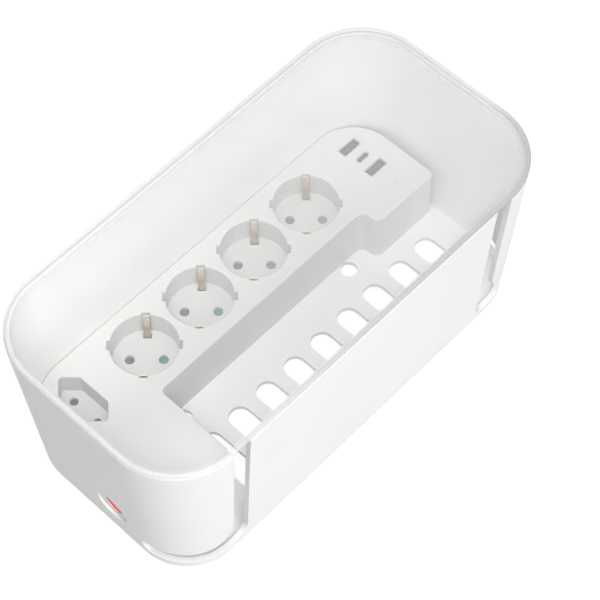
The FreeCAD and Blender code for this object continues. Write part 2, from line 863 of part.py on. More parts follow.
def make_socket_cover():
    body = new_body("socket_cover", z=floor_top)
    block = new_sketch(body, "block")
    draw(block, round_corners(cover_outline()))
    pad(body, block, deck_rise)
    cavity = new_sketch(body, "cavity")
    draw(cavity, round_corners(cavity_outline()))
    pocket(body, cavity, deck_under, up=True)

    deck_edge = size("deck_round")

    def at_tray_edge(edge):
        if not lies_at(edge, deck_rise.value):
            return False
        box = edge.BoundBox
        near = box.YMax <= size("deck_front_y").value + EDGE_SLACK
        return near or box.XMin >= size("deck_right_x").value - EDGE_SLACK

    soften(body, "Fillet", deck_edge, at_tray_edge)

    # wells
    cup = new_sketch(body, "cup", x=socket_x, y=socket_y, z=cup_under)
    draw_circle(cup, cup_radius)
    repeat(body, [pad(body, cup, deck_rise - deck_thick / 2 - cup_under)], socket_pitch, SOCKETS)
    euro_cup = new_sketch(body, "euro_cup", z=euro_cup_under)
    rim_wall = size("euro_cup_wall")
    draw(euro_cup, hexagon(size("euro_long") + rim_wall * 2, size("euro_side") + rim_wall,
                           size("euro_wide") + rim_wall * 2))
    pad(body, euro_cup, deck_rise - deck_thick / 2 - euro_cup_under)

    # bosses for the screws from below, and posts for the power board
    bosses = new_sketch(body, "bosses")
    for x, y in BOSSES:
        draw_circle(bosses, boss_radius, x, y)
    pad(body, bosses, deck_rise - deck_thick / 2)
    pilots = new_sketch(body, "pilots")
    for x, y in BOSSES:
        draw_circle(pilots, screw_radius + size("pivot_clearance"), x, y)
    pocket(body, pilots, size("screw_long"), up=True)
    posts = new_sketch(body, "posts", z=board_top)
    for x, y in BOARD_POSTS:
        draw_circle(posts, size("board_post_radius"), x, y)
    pad(body, posts, deck_rise - deck_thick / 2 - board_top)
    post_pilots = new_sketch(body, "post_pilots", z=board_top)
    for x, y in BOARD_POSTS:
        draw_circle(post_pilots, size("board_screw_radius") + size("pivot_clearance"), x, y)
    pocket(body, post_pilots, size("board_screw_long"), up=True)

    # round sockets
    well = new_sketch(body, "well", x=socket_x, y=socket_y, z=deck_rise)
    draw_circle(well, size("socket_radius"))
    well_cut = pocket(body, well, socket_deep)
    guides = new_sketch(body, "guides", x=socket_x, y=socket_y, z=deck_rise, turn=socket_turn)
    draw_centred_box(guides, size("guide_reach") * 2, size("guide_width"))
    guide_cut = pocket(body, guides, socket_deep)
    grooves = new_sketch(body, "grooves", x=socket_x, y=socket_y, z=deck_rise, turn=socket_turn)
    draw_centred_box(grooves, size("clip_groove_width"), size("clip_groove_reach") * 2)
    groove_cut = pocket(body, grooves, socket_deep)
    openings = new_sketch(body, "openings", x=socket_x, y=socket_y, z=deck_rise - socket_deep, turn=socket_turn)
    half_groove = size("clip_groove_width") / 2
    for side in (-1, 1):
        draw_circle(openings, size("pin_hole_diameter") / 2, pin_reach * side)
    draw_box(openings, -half_groove, half_groove, size("clip_hole_inner"), size("clip_hole_outer"))
    draw_box(openings, -half_groove, half_groove, -size("clip_hole_outer"), -size("clip_hole_inner"))
    opening_cut = pocket(body, openings, cup_floor + overrun)
    repeat(body, [well_cut, guide_cut, groove_cut, opening_cut], socket_pitch, SOCKETS)

    # small socket
    euro_well = new_sketch(body, "euro_well", z=deck_rise)
    draw(euro_well, hexagon(size("euro_long"), size("euro_side"), size("euro_wide")))
    pocket(body, euro_well, size("euro_deep"))

    def at_euro_corner(edge):
        box = edge.BoundBox
        upright = box.XLength < EDGE_SLACK and box.YLength < EDGE_SLACK
        inside = abs(box.Center.x - euro_x.value) < size("euro_wide").value / 2 + EDGE_SLACK
        reached = abs(box.Center.y - euro_y.value) < size("euro_long").value / 2 + EDGE_SLACK
        return upright and inside and reached and box.ZMax > deck_rise.value - EDGE_SLACK

    soften(body, "Fillet", size("euro_corner_round"), at_euro_corner)
    euro_holes = new_sketch(body, "euro_holes", z=deck_rise - size("euro_deep"))
    for side in (-1, 1):
        draw_circle(euro_holes, size("euro_hole_diameter") / 2, euro_x, euro_y + euro_pin_reach * side)
    pocket(body, euro_holes, cup_floor + overrun)

    def at_well_rim(edge):
        if not lies_at(edge, deck_rise.value):
            return False
        middle = edge.BoundBox.Center
        if abs(middle.x - euro_x.value) < size("euro_wide").value:
            return abs(middle.y - euro_y.value) < size("euro_long").value / 2
        reach = size("guide_reach").value
        along = [abs(middle.x - socket_x.value - socket_pitch.value * index) for index in range(SOCKETS)]
        return min(along) < reach and abs(middle.y - socket_y.value) < reach

    soften(body, "Fillet", size("socket_rim_round"), at_well_rim)

    # USB windows and the inlet hole
    windows = new_sketch(body, "windows", z=deck_rise)
    for port in USB_PORTS:
        draw_window(windows, port, size("usb_window_gap"))
    pocket(body, windows, deck_thick + overrun / 2)
    inlet = new_sketch(body, "inlet", "XZ_Plane", z=-(size("block_near_y") - overrun))
    draw_circle(inlet, size("gland_radius") + size("gland_hole_gap"), size("gland_x"), size("gland_rise"))
    pocket(body, inlet, skirt + overrun * 2)


# Contact tray with the strips, clips, shutters and springs

def make_contact_tray():
    body = new_body("contact_tray", z=floor_top)
    corner = size("tray_round")
    plate = new_sketch(body, "plate")
    draw(plate, round_corners([
        (size("tray_left_x"), size("tray_bay_near_y"), corner),
        (size("tray_bay_right_x"), size("tray_bay_near_y"), corner),
        (size("tray_bay_right_x"), size("tray_near_y"), corner),
        (size("tray_right_x"), size("tray_near_y"), corner),
        (size("tray_right_x"), size("tray_far_y"), corner),
        (size("tray_left_x"), size("tray_far_y"), corner),
    ]))
    pad(body, plate, tray_plate)

    # posts that carry the shutters, and stops for their springs
    post_top = cup_under - shutter_drop - size("shutter_seat_gap")
    posts = new_sketch(body, "posts", x=socket_x, y=socket_y, z=tray_plate, turn=socket_turn)
    for side in (-1, 1):
        draw_circle(posts, size("post_radius"), size("post_offset") * side)
    post_pad = pad(body, posts, post_top - tray_plate)
    stops = new_sketch(body, "stops", x=socket_x, y=socket_y, z=tray_plate, turn=socket_turn)
    half_tab = size("tab_width") / 2
    draw_box(stops, stop_reach, stop_reach + size("stop_thick"), -half_tab, half_tab)
    stop_pad = pad(body, stops, post_top - tray_plate)
    repeat(body, [post_pad, stop_pad], socket_pitch, SOCKETS)
    euro_post_top = euro_cup_under - shutter_drop - size("shutter_seat_gap")
    euro_posts = new_sketch(body, "euro_posts", z=tray_plate)
    for side in (-1, 1):
        draw_circle(euro_posts, size("post_radius"), euro_x, euro_y + size("euro_post_offset") * side)
    draw_box(euro_posts, euro_x - half_tab, euro_x + half_tab,
             euro_y - stop_reach - size("stop_thick"), euro_y - stop_reach)
    pad(body, euro_posts, euro_post_top - tray_plate)

    # ribs under the two strips, half way between the sockets
    half_strip = size("strip_width") / 2
    ribs = new_sketch(body, "ribs", z=tray_plate)
    rib_x = socket_x - socket_pitch / 2
    half_rib = size("rib_thick") / 2
    for y in (live_y, neutral_y):
        draw_box(ribs, rib_x - half_rib, rib_x + half_rib, y - half_strip, y + half_strip)
    repeat(body, [pad(body, ribs, strip_base - tray_plate)], socket_pitch, SOCKETS)

    # holes under the pins, notches round the screw bosses, groove for the earth strip
    pin_holes = new_sketch(body, "pin_holes", x=socket_x, y=socket_y, turn=socket_turn)
    for side in (-1, 1):
        draw_circle(pin_holes, size("tray_pin_hole_diameter") / 2, pin_reach * side)
    repeat(body, [pocket(body, pin_holes, tray_plate, up=True)], socket_pitch, SOCKETS)
    other_holes = new_sketch(body, "other_holes")
    for side in (-1, 1):
        draw_circle(other_holes, size("tray_pin_hole_diameter") / 2, euro_x, euro_y + euro_pin_reach * side)
    for x, y in BOSSES[:4]:
        draw_circle(other_holes, boss_radius + size("boss_gap"), x, y)
    pocket(body, other_holes, tray_plate, up=True)
    groove = new_sketch(body, "earth_groove", z=tray_plate)
    half_earth = size("earth_strip_width") / 2
    draw_box(groove, size("earth_strip_left_x"), size("earth_strip_right_x"),
             socket_y - half_earth, socket_y + half_earth)
    pocket(body, groove, strip_thick)


def make_strip(label, y, side, right_x):
    """A contact strip with a sleeve under each pin hole of its side."""
    body = new_body(label, z=floor_top)
    half_strip = size("strip_width") / 2
    strip = new_sketch(body, "strip", z=strip_base)
    draw_box(strip, euro_x - size("strip_end"), right_x, y - half_strip, y + half_strip)
    pad(body, strip, strip_thick)
    sleeve_foot = tray_plate + size("sleeve_foot")
    sleeve_top = cup_under - shutter_drop - size("sleeve_drop")
    euro_top = euro_cup_under - shutter_drop - size("sleeve_drop")
    sleeve = new_sketch(body, "sleeve", x=socket_x, y=socket_y, z=sleeve_foot, turn=socket_turn)
    draw_circle(sleeve, size("sleeve_outer") / 2, pin_reach * side)
    repeat(body, [pad(body, sleeve, sleeve_top - sleeve_foot)], socket_pitch, SOCKETS)
    euro_sleeve = new_sketch(body, "euro_sleeve", z=sleeve_foot)
    draw_circle(euro_sleeve, size("sleeve_outer") / 2, euro_x, euro_y - euro_pin_reach * side)
    pad(body, euro_sleeve, euro_top - sleeve_foot)
    bore = new_sketch(body, "bore", x=socket_x, y=socket_y, turn=socket_turn)
    draw_circle(bore, size("sleeve_bore") / 2, pin_reach * side)
    repeat(body, [pocket(body, bore, deck_rise, up=True)], socket_pitch, SOCKETS)
    euro_bore = new_sketch(body, "euro_bore")
    draw_circle(euro_bore, size("sleeve_bore") / 2, euro_x, euro_y - euro_pin_reach * side)
    pocket(body, euro_bore, deck_rise, up=True)


def make_earth_bar():
    body = new_body("earth_bar", z=floor_top + tray_plate - strip_thick)
    strip = new_sketch(body, "strip")
    half_earth = size("earth_strip_width") / 2
    draw_box(strip, size("earth_strip_left_x"), size("earth_strip_right_x"),
             socket_y - half_earth, socket_y + half_earth)
    pad(body, strip, strip_thick)


def make_earth_clip(number):
    """A bent strip: foot under the socket, arms up through its floor, tips leaning outwards."""
    x = socket_x + socket_pitch * number
    body = new_body("earth_clip_%d" % (number + 1), x, socket_y, floor_top + tray_plate, socket_turn)
    half_thick = size("clip_thick") / 2
    well_floor = deck_rise - socket_deep - tray_plate
    neck = cup_under - tray_plate
    tip = deck_rise - size("clip_tip_below_deck") - tray_plate
    stations = [
        (size("clip_foot_reach"), neck - size("clip_neck_run")),
        (size("clip_neck_reach"), neck),
        (size("clip_neck_reach"), well_floor),
        (size("clip_tip_reach"), tip),
    ]
    foot = size("clip_foot_reach")
    right_outer = [(foot + half_thick, NONE)] + [(reach + half_thick, z) for reach, z in stations]
    right_inner = [(reach - half_thick, z) for reach, z in reversed(stations)]
    right_inner.append((foot - half_thick, size("clip_thick")))
    left_inner = [(-reach, z) for reach, z in reversed(right_inner)]
    left_outer = [(-reach, z) for reach, z in reversed(right_outer)]
    profile = new_sketch(body, "profile", "YZ_Plane")
    draw(profile, [Bend(point) for point in right_outer + right_inner + left_inner + left_outer])
    pad(body, profile, size("clip_width"), middle=True)


def make_shutter(label, spring_label, x, y, cup_base, turn, reach):
    """A sliding plate with one pin hole, a tab for its spring, and the spring itself."""
    plate_z = floor_top + cup_base - shutter_drop
    body = new_body(label, x, y, plate_z, turn)
    half_wide = size("shutter_width") / 2
    closed_end = -(reach + size("pin_hole_diameter") / 2 + size("shutter_cover"))
    tab_end = size("tab_start") + size("tab_thick")
    plate = new_sketch(body, "plate")
    draw_box(plate, closed_end, tab_end, -half_wide, half_wide)
    pad(body, plate, shutter_thick)
    hole = new_sketch(body, "hole")
    draw_circle(hole, size("shutter_hole_diameter") / 2, reach - size("shutter_travel"))
    pocket(body, hole, shutter_thick, up=True)
    half_tab = size("tab_width") / 2
    tab = new_sketch(body, "tab")
    draw_box(tab, size("tab_start"), tab_end, -half_tab, half_tab)
    pad(body, tab, size("tab_drop"), down=True)

    spring = new_body(spring_label, x, y, plate_z - size("tab_drop") / 2, turn)
    wire = new_sketch(spring, "wire")
    inner = spring_start + size("spring_wire") / 2
    draw_circle(wire, size("spring_wire") / 2, inner, size("spring_radius"))
    coil = spring.newObject("PartDesign::AdditiveHelix", spring_label + "_coil")
    coil.Profile = wire
    coil.ReferenceAxis = (wire, ["H_Axis"])
    coil.Mode = "height-turns-angle"
    coil_height = size("spring_length") - size("spring_wire")
    coil.Height = coil_height.value
    coil.setExpression("Height", coil_height.text)
    coil.Turns = SPRING_TURNS
    coil.Angle = 0


# Switch in the end wall, leaning with it; -X points out of the wall

def switch_place(deep):
    """A point on the switch's axis, a distance inwards from the wall's outer face."""
    rise = size("switch_rise")
    surface_x = -(box_length / 2 - lean_at(rise))
    return surface_x + deep * cosine(tilt), size("switch_y"), foot_lift + rise + deep * sine(tilt)


def switch_body(label, deep=NONE):
    return new_body(label, *switch_place(deep), -tilt, Vector(0, 1, 0))


def make_switch_housing():
    body = switch_body("switch_housing")
    seat = size("switch_recess_deep")
    face = seat - size("bezel_thick")
    body_radius = size("switch_body_radius")
    well_radius = size("switch_well_radius")
    crown = size("bezel_round")
    profile = new_sketch(body, "profile")
    draw(profile, round_corners([
        (face, well_radius, crown),
        (size("switch_well_deep"), well_radius),
        (size("switch_well_deep"), NONE),
        (size("switch_body_long"), NONE),
        (size("switch_body_long"), body_radius),
        (seat, body_radius),
        (seat, size("bezel_radius")),
        (face, size("bezel_radius"), crown),
    ]))
    revolve(body, profile)
    bore = new_sketch(body, "pivot_bore", x=size("pivot_deep"))
    draw_circle(bore, size("pivot_radius") + size("pivot_clearance"))
    pocket(body, bore, size("pivot_long") + size("pivot_clearance") * 2, middle=True)


def make_switch_rocker():
    body = switch_body("switch_rocker", size("pivot_deep"))
    face = size("switch_recess_deep") - size("bezel_thick")
    front = face + size("rocker_recess") - size("pivot_deep")
    back = front + size("rocker_thick")
    radius = size("rocker_radius")
    bevel = size("rocker_rim_bevel")
    profile = new_sketch(body, "profile", turn=-size("rocker_tilt"))
    draw(profile, [Bend(point) for point in (
        (front + size("rocker_dish"), NONE),
        (back, NONE),
        (back, radius - bevel),
        (back - bevel, radius),
        (front + bevel * 2, radius),
        (front, radius - bevel * 2),
    )])
    revolve(body, profile)
    bore = new_sketch(body, "bore")
    draw_circle(bore, size("pivot_radius") + size("pivot_clearance"))
    pocket(body, bore, radius * 4, middle=True)


def make_switch_pivot():
    body = switch_body("switch_pivot", size("pivot_deep"))
    pin = new_sketch(body, "pin")
    draw_circle(pin, size("pivot_radius"))
    pad(body, pin, size("pivot_long"), middle=True)


def make_switch_lamp():
    body = switch_body("switch_lamp", size("switch_well_deep") - size("lamp_long"))
    bulb = new_sketch(body, "bulb", "YZ_Plane")
    draw_circle(bulb, size("lamp_radius"))
    pad(body, bulb, size("lamp_long"))


def make_switch_terminals():
    body = switch_body("switch_terminals", size("switch_body_long"))
    blades = new_sketch(body, "blades", "YZ_Plane")
    for step in (-1, 0, 1):
        draw_centred_box(blades, size("blade_width"), size("blade_thick"), y=size("blade_pitch") * step)
    pad(body, blades, size("blade_long"))


# Power board with the USB ports

def make_power_board():
    body = new_body("power_board", z=floor_top + size("board_rise"))
    board = new_sketch(body, "board")
    draw_box(board, size("board_left_x"), size("board_right_x"), size("board_near_y"), size("board_far_y"),
             size("board_round"))
    for x, y in BOARD_POSTS:
        draw_circle(board, size("board_screw_radius") + size("pivot_clearance"), x, y)
    pad(body, board, size("board_thick"))


def make_board_screws():
    head = size("board_screw_head")
    body = new_body("board_screws", z=floor_top + size("board_rise") - head)
    heads = new_sketch(body, "heads")
    shanks = new_sketch(body, "shanks", z=head)
    drives = new_sketch(body, "drives")
    for x, y in BOARD_POSTS:
        draw_circle(heads, size("board_screw_head_radius"), x, y)
        draw_circle(shanks, size("board_screw_radius"), x, y)
        draw_circle(drives, size("board_screw_radius"), x, y)
    pad(body, heads, head)
    pad(body, shanks, size("board_screw_long"))
    pocket(body, drives, head / 2, up=True)


def make_usb_port(number, port):
    """A metal shell standing on the board, open at the deck."""
    body = new_body("usb_port_%d" % number, z=floor_top + board_top)
    tall = deck_rise - size("usb_below_deck") - board_top
    outer = new_sketch(body, "outer")
    draw_window(outer, port, NONE)
    pad(body, outer, tall)
    inner = new_sketch(body, "inner", z=tall)
    draw_window(inner, port, -size("usb_shell"))
    pocket(body, inner, tall - size("usb_base"))


def make_usb_tongues():
    body = new_body("usb_tongues", z=floor_top + board_top + size("usb_base"))
    tall = deck_rise - size("usb_below_deck") - board_top - size("usb_base") - size("tongue_end_gap")
    tongues = new_sketch(body, "tongues")
    for y, long, wide, radius in USB_PORTS:
        thick = size("tongue_thick") if radius else size("slim_tongue_thick")
        inside = long - size("usb_shell") * 2 - size("tongue_side_gap") * 2
        shift = (wide / 2 - size("usb_shell") - thick) if radius else NONE
        draw_centred_box(tongues, inside, thick, x=size("usb_x"), y=y + shift)
    pad(body, tongues, tall)


def make_transformer():
    body = new_body("transformer", size("transformer_x"), size("transformer_y"), floor_top + board_top)
    core = new_sketch(body, "core")
    draw_centred_box(core, size("transformer_long"), size("transformer_wide"))
    pad(body, core, size("transformer_tall"))
    margin = size("winding_margin")
    winding = new_sketch(body, "winding", z=margin)
    draw_centred_box(winding, size("transformer_long") - margin * 2, size("winding_wide"), margin / 2)
    pad(body, winding, size("transformer_tall") - margin * 2)


def make_board_capacitors():
    body = new_body("board_capacitors", z=floor_top + board_top)
    cans = new_sketch(body, "cans")
    for step in range(3):
        y = size("capacitor_first_y") + size("capacitor_pitch") * step
        draw_circle(cans, size("capacitor_radius"), size("capacitor_x"), y)
    pad(body, cans, size("capacitor_tall"))


def make_board_chips():
    body = new_body("board_chips", z=floor_top + board_top)
    chips = new_sketch(body, "chips")
    for step in range(3):
        y = size("capacitor_first_y") + size("capacitor_pitch") * step
        draw_centred_box(chips, size("chip_side"), size("chip_side"), x=size("chip_x"), y=y)
    pad(body, chips, size("chip_thick"))


# Screws, inlet and terminal block

def make_cover_screws():
    head = size("screw_head")
    body = new_body("cover_screws", z=floor_under - head)
    heads = new_sketch(body, "heads")
    shanks = new_sketch(body, "shanks", z=head)
    drives = new_sketch(body, "drives")
    for x, y in BOSSES:
        draw_circle(heads, size("screw_head_radius"), x, y)
        draw_circle(shanks, screw_radius, x, y)
        draw_circle(drives, size("drive_radius"), x, y)
    pad(body, heads, head)
    pad(body, shanks, size("screw_long"))
    pocket(body, drives, size("drive_deep"), up=True)


def make_mains_gland():
    """A flanged bush through the skirt; its own axis runs inwards along +Y."""
    body = new_body("mains_gland", size("gland_x"), size("block_near_y"), floor_top + size("gland_rise"))
    flange = new_sketch(body, "flange", "XZ_Plane")
    draw_circle(flange, size("gland_flange_radius"))
    pad(body, flange, size("gland_flange_thick"))
    barrel = new_sketch(body, "barrel", "XZ_Plane")
    draw_circle(barrel, size("gland_radius"))
    pad(body, barrel, skirt + size("gland_inside"), down=True)
    bore = new_sketch(body, "bore", "XZ_Plane")
    draw_circle(bore, size("gland_bore") / 2)
    pocket(body, bore, (skirt + size("gland_inside") + size("gland_flange_thick")) * 2, middle=True)


def make_gland_nut():
    body = new_body("gland_nut", size("gland_x"), size("block_near_y") + skirt, floor_top + size("gland_rise"))
    nut = new_sketch(body, "nut", "XZ_Plane")
    across = size("nut_across") / 2
    corner_share = 1 / math.sqrt(3)
    draw(nut, [Bend(point) for point in (
        (across * 2 * corner_share, NONE), (across * corner_share, across),
        (-across * corner_share, across), (-across * 2 * corner_share, NONE),
        (-across * corner_share, -across), (across * corner_share, -across),
    )])
    draw_circle(nut, size("gland_radius") + size("nut_clearance"))
    pad(body, nut, size("nut_thick"), down=True)


def make_terminal_block():
    body = new_body("terminal_block", size("block_x"), size("block_y"), floor_top)
    block = new_sketch(body, "block")
    draw_centred_box(block, size("block_long"), size("block_wide"))
    pad(body, block, size("block_tall"))
    screws = new_sketch(body, "screws", z=size("block_tall"))
    for step in (-1, 0, 1):
        draw_circle(screws, size("block_screw_radius"), size("block_pitch") * step)
    pocket(body, screws, size("block_screw_deep"))


# Inner leads: round wires of straight runs and tangent arcs, built on points worked out from the sheet

BEND_SHARE = 0.45


def lead_shape(points, radius):
    """A round lead through points; each bend's arc is as large as its shorter run allows."""
    corners = [Vector(*(length.value for length in point)) for point in points]
    edges = []
    last = corners[0]
    for before, corner, after in zip(corners, corners[1:], corners[2:]):
        back = before - corner
        ahead = after - corner
        cut = BEND_SHARE * min(back.Length, ahead.Length)
        start = corner + back.normalize() * cut
        end = corner + ahead.normalize() * cut
        middle_way = (back + ahead).normalize()
        half = back.getAngle(ahead) / 2
        arc_radius = cut * math.tan(half)
        centre = corner + middle_way * (cut / math.cos(half))
        edges.append(Part.LineSegment(last, start).toShape())
        edges.append(Part.Arc(start, centre - middle_way * arc_radius, end).toShape())
        last = end
    edges.append(Part.LineSegment(last, corners[-1]).toShape())
    path = Part.Wire(edges)
    ring = Part.Wire(Part.Circle(corners[0], corners[1] - corners[0], radius.value).toShape())
    tube = path.makePipeShell([ring], True, False)
    print("lead: volume against section times length",
          round(tube.Volume / (math.pi * radius.value ** 2 * path.Length), 4))
    return tube


def add_lead(label, routes, radius):
    lead = doc.addObject("Part::Feature", label)
    lead.Label = label
    shapes = [lead_shape(route, radius) for route in routes]
    lead.Shape = shapes[0] if len(shapes) == 1 else Part.makeCompound(shapes)
    lead.Placement = Placement()
    parts.append(lead)


def blade_end(step):
    """Where a lead meets the free end of a switch blade, in the part's frame."""
    x, y, z = switch_place(size("switch_body_long") + size("blade_long") + size("lead_end_gap"))
    rise = size("blade_pitch") * step
    return x - rise * sine(tilt), y, z + rise * cosine(tilt)


def make_leads():
    block_face = size("block_y") + size("block_wide") / 2
    block_mid = floor_top + size("block_tall") / 2
    lead_z = floor_top + size("lead_high")
    strip_z = floor_top + strip_top
    out = size("lead_out")
    block_x = size("block_x")
    pitch = size("block_pitch")

    low_x, low_y, low_z = blade_end(-1)
    live_start = block_x - pitch
    add_lead("live_lead", [[
        (live_start, block_face, block_mid),
        (live_start, block_face + out, block_mid),
        (size("live_lead_x"), block_face + out, low_z),
        (size("live_lead_x"), low_y, low_z),
        (low_x, low_y, low_z),
    ]], lead_radius)

    high_x, high_y, high_z = blade_end(1)
    over_z = floor_top + size("switched_lead_rise")
    add_lead("switched_lead", [[
        (high_x, high_y, high_z),
        (size("switched_lead_x"), high_y, high_z),
        (size("switched_lead_x"), live_y, over_z),
        (size("switched_lead_x"), live_y, strip_z),
    ]], lead_radius)

    neutral_x = size("neutral_lead_x")
    add_lead("neutral_lead", [[
        (neutral_x, block_face, block_mid),
        (neutral_x, block_face + out, block_mid),
        (neutral_x, block_face + out * 2, lead_z),
        (neutral_x, neutral_y, lead_z),
        (neutral_x, neutral_y, strip_z),
    ]], lead_radius)

    earth_start = block_x + pitch
    earth_x = size("earth_lead_x")
    earth_z = floor_top + size("earth_lead_rise")
    add_lead("earth_lead", [[
        (earth_start, block_face, block_mid),
        (earth_start, block_face + out, block_mid),
        (earth_x, block_face + out * 2, earth_z),
        (earth_x, socket_y, earth_z),
        (earth_x, socket_y, floor_top + tray_plate),
    ]], lead_radius)

    board_z = floor_top + size("board_rise")
    under_z = floor_top + size("board_lead_rise")
    margin = size("strip_width") / 2
    add_lead("board_leads", [
        [
            (right_x - margin, y, strip_z),
            (right_x - margin, y, under_z),
            (size("board_lead_x"), y, under_z),
            (size("board_lead_x"), y, board_z),
        ]
        for right_x, y in (
            (size("live_strip_right_x"), live_y),
            (size("neutral_strip_right_x"), neutral_y),
        )
    ], thin_lead_radius)


def make_everything():
    make_tub()
    make_lid()
    make_feet()
    make_socket_cover()
    make_contact_tray()
    make_strip("live_bar", live_y, -1, size("live_strip_right_x"))
    make_strip("neutral_bar", neutral_y, 1, size("neutral_strip_right_x"))
    make_earth_bar()
    for number in range(SOCKETS):
        make_earth_clip(number)
    for number in range(SOCKETS):
        make_shutter("shutter_%d" % (number + 1), "shutter_spring_%d" % (number + 1),
                     socket_x + socket_pitch * number, socket_y, cup_under, socket_turn, pin_reach)
    make_shutter("euro_shutter", "euro_spring", euro_x, euro_y, euro_cup_under, size("euro_turn"), euro_pin_reach)
    make_switch_housing()
    make_switch_rocker()
    make_switch_pivot()
    make_switch_lamp()
    make_switch_terminals()
    make_power_board()
    make_board_screws()
    for number, port in enumerate(USB_PORTS, 1):
        make_usb_port(number, port)
    make_usb_tongues()
    make_transformer()
    make_board_capacitors()
    make_board_chips()
    make_cover_screws()
    make_mains_gland()
    make_gland_nut()
    make_terminal_block()
    make_leads()


def check_objects():
    """Stop if any object of the document failed, or a piece has no valid shape."""
    for item in doc.Objects:
        if {"Invalid", "Error"} & set(item.State):
            raise RuntimeError("%s failed: %s" % (item.Name, item.State))
    for piece in parts:
        if piece.Shape.isNull() or not piece.Shape.isValid():
            raise RuntimeError("%s has no valid shape" % piece.Label)


def write_parts():
    os.makedirs("parts", exist_ok=True)
    for piece in parts:
        piece.Shape.exportStep("parts/%s.step" % piece.Label)
        box = piece.Shape.optimalBoundingBox(False)
        print("%-20s solids %2d volume %9.1f x %.1f %.1f y %.1f %.1f z %.1f %.1f" % (
            piece.Label, len(piece.Shape.Solids), piece.Shape.Volume,
            box.XMin, box.XMax, box.YMin, box.YMax, box.ZMin, box.ZMax))


make_everything()
doc.recompute()
check_objects()
write_parts()
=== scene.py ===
"""Looks of the cable management box: a finish for every piece, the fittings that are too fine for the
solids, and a plain pale studio. Lengths are in metres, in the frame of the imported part. Those of the
fittings are in millimetres, and are multiplied by MM where they go into a mesh."""

import math

import bmesh
import bpy
from mathutils import Matrix, Vector


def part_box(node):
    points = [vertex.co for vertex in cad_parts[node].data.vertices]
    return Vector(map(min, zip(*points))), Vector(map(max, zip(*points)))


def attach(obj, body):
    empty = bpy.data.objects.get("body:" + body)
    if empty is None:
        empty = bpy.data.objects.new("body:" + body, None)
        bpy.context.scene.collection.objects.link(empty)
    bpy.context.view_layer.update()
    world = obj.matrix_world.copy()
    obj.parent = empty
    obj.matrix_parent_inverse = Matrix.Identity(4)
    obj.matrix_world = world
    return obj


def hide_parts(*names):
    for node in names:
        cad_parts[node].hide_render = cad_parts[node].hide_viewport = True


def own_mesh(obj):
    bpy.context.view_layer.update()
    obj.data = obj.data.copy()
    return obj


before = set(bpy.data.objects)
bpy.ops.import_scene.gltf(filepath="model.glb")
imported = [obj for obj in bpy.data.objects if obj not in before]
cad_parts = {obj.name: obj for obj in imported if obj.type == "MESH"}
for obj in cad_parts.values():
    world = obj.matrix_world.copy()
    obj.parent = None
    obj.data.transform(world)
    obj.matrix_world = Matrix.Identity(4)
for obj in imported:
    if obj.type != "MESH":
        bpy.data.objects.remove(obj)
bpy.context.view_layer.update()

MM = 0.001
WHITE = (1, 1, 1, 1)


# Camera, first because everything is judged through it

CAMERA_AIM = Vector((8.53, -10.10, 60.80)) * MM
CAMERA_AZIMUTH = math.radians(-45.53)
CAMERA_HEIGHT = math.radians(58.40)
CAMERA_ROLL = math.radians(-0.981)
CAMERA_DISTANCE = 1087.1 * MM
LENS_MM = 119.74
SENSOR_MM = 36
CLIP_NEAR = 0.05
CLIP_FAR = 50


def set_camera():
    """A long lens above the box's near left corner, level but for a slight roll."""
    back = Vector((
        math.sin(CAMERA_AZIMUTH) * math.cos(CAMERA_HEIGHT),
        -math.cos(CAMERA_AZIMUTH) * math.cos(CAMERA_HEIGHT),
        math.sin(CAMERA_HEIGHT),
    ))
    across = Vector((0, 0, 1)).cross(back).normalized()
    upward = back.cross(across)
    right = across * math.cos(CAMERA_ROLL) + upward * math.sin(CAMERA_ROLL)
    up = upward * math.cos(CAMERA_ROLL) - across * math.sin(CAMERA_ROLL)
    data = bpy.data.cameras.new("camera")
    data.sensor_width = SENSOR_MM
    data.lens = LENS_MM
    data.clip_start = CLIP_NEAR
    data.clip_end = CLIP_FAR
    camera = bpy.data.objects.new("camera", data)
    turn = Matrix((right, up, back)).transposed().to_4x4()
    camera.matrix_world = Matrix.Translation(CAMERA_AIM + back * CAMERA_DISTANCE) @ turn
    bpy.context.scene.collection.objects.link(camera)
    bpy.context.scene.camera = camera


# Nodes

SRGB_TOE = 0.04045
SRGB_TOE_SLOPE = 12.92
SRGB_OFFSET = 0.055
SRGB_POWER = 2.4


def linear(shade):
    """An sRGB hex shade as Blender's linear colour."""
    colour = []
    for at in (0, 2, 4):
        part = int(shade[at:at + 2], 16) / 255
        if part <= SRGB_TOE:
            colour.append(part / SRGB_TOE_SLOPE)
        else:
            colour.append(((part + SRGB_OFFSET) / (1 + SRGB_OFFSET)) ** SRGB_POWER)
    return [*colour, 1]


def add(tree, kind, settings=None, values=None, links=None):
    """Adds a node with its settings, the values of its sockets and the outputs that feed them."""
    node = tree.nodes.new("ShaderNode" + kind)
    for name, value in (settings or {}).items():
        setattr(node, name, value)
    for socket, value in (values or {}).items():
        node.inputs[socket].default_value = value
    for socket, source in (links or {}).items():
        tree.links.new(source, node.inputs[socket])
    return node


def start_finish(name, values):
    """A new material, with its tree, its shader and the object's own coordinates."""
    material = bpy.data.materials.new(name)
    material.use_nodes = True
    tree = material.node_tree
    shader = tree.nodes["Principled BSDF"]
    for socket, value in values.items():
        shader.inputs[socket].default_value = value
    place = add(tree, "TexCoord").outputs["Object"]
    return material, tree, shader, place


def mottle(tree, place, grain, stretch=(1, 1, 1), detail=2.0):
    """Cloudy noise with blots about one grain across, drawn out along an axis whose stretch is under 1."""
    drawn = add(tree, "Mapping", values={"Scale": stretch}, links={"Vector": place})
    cloud = add(tree, "TexNoise", values={"Scale": 1 / grain, "Detail": detail},
                links={"Vector": drawn.outputs["Vector"]})
    return cloud.outputs[0]


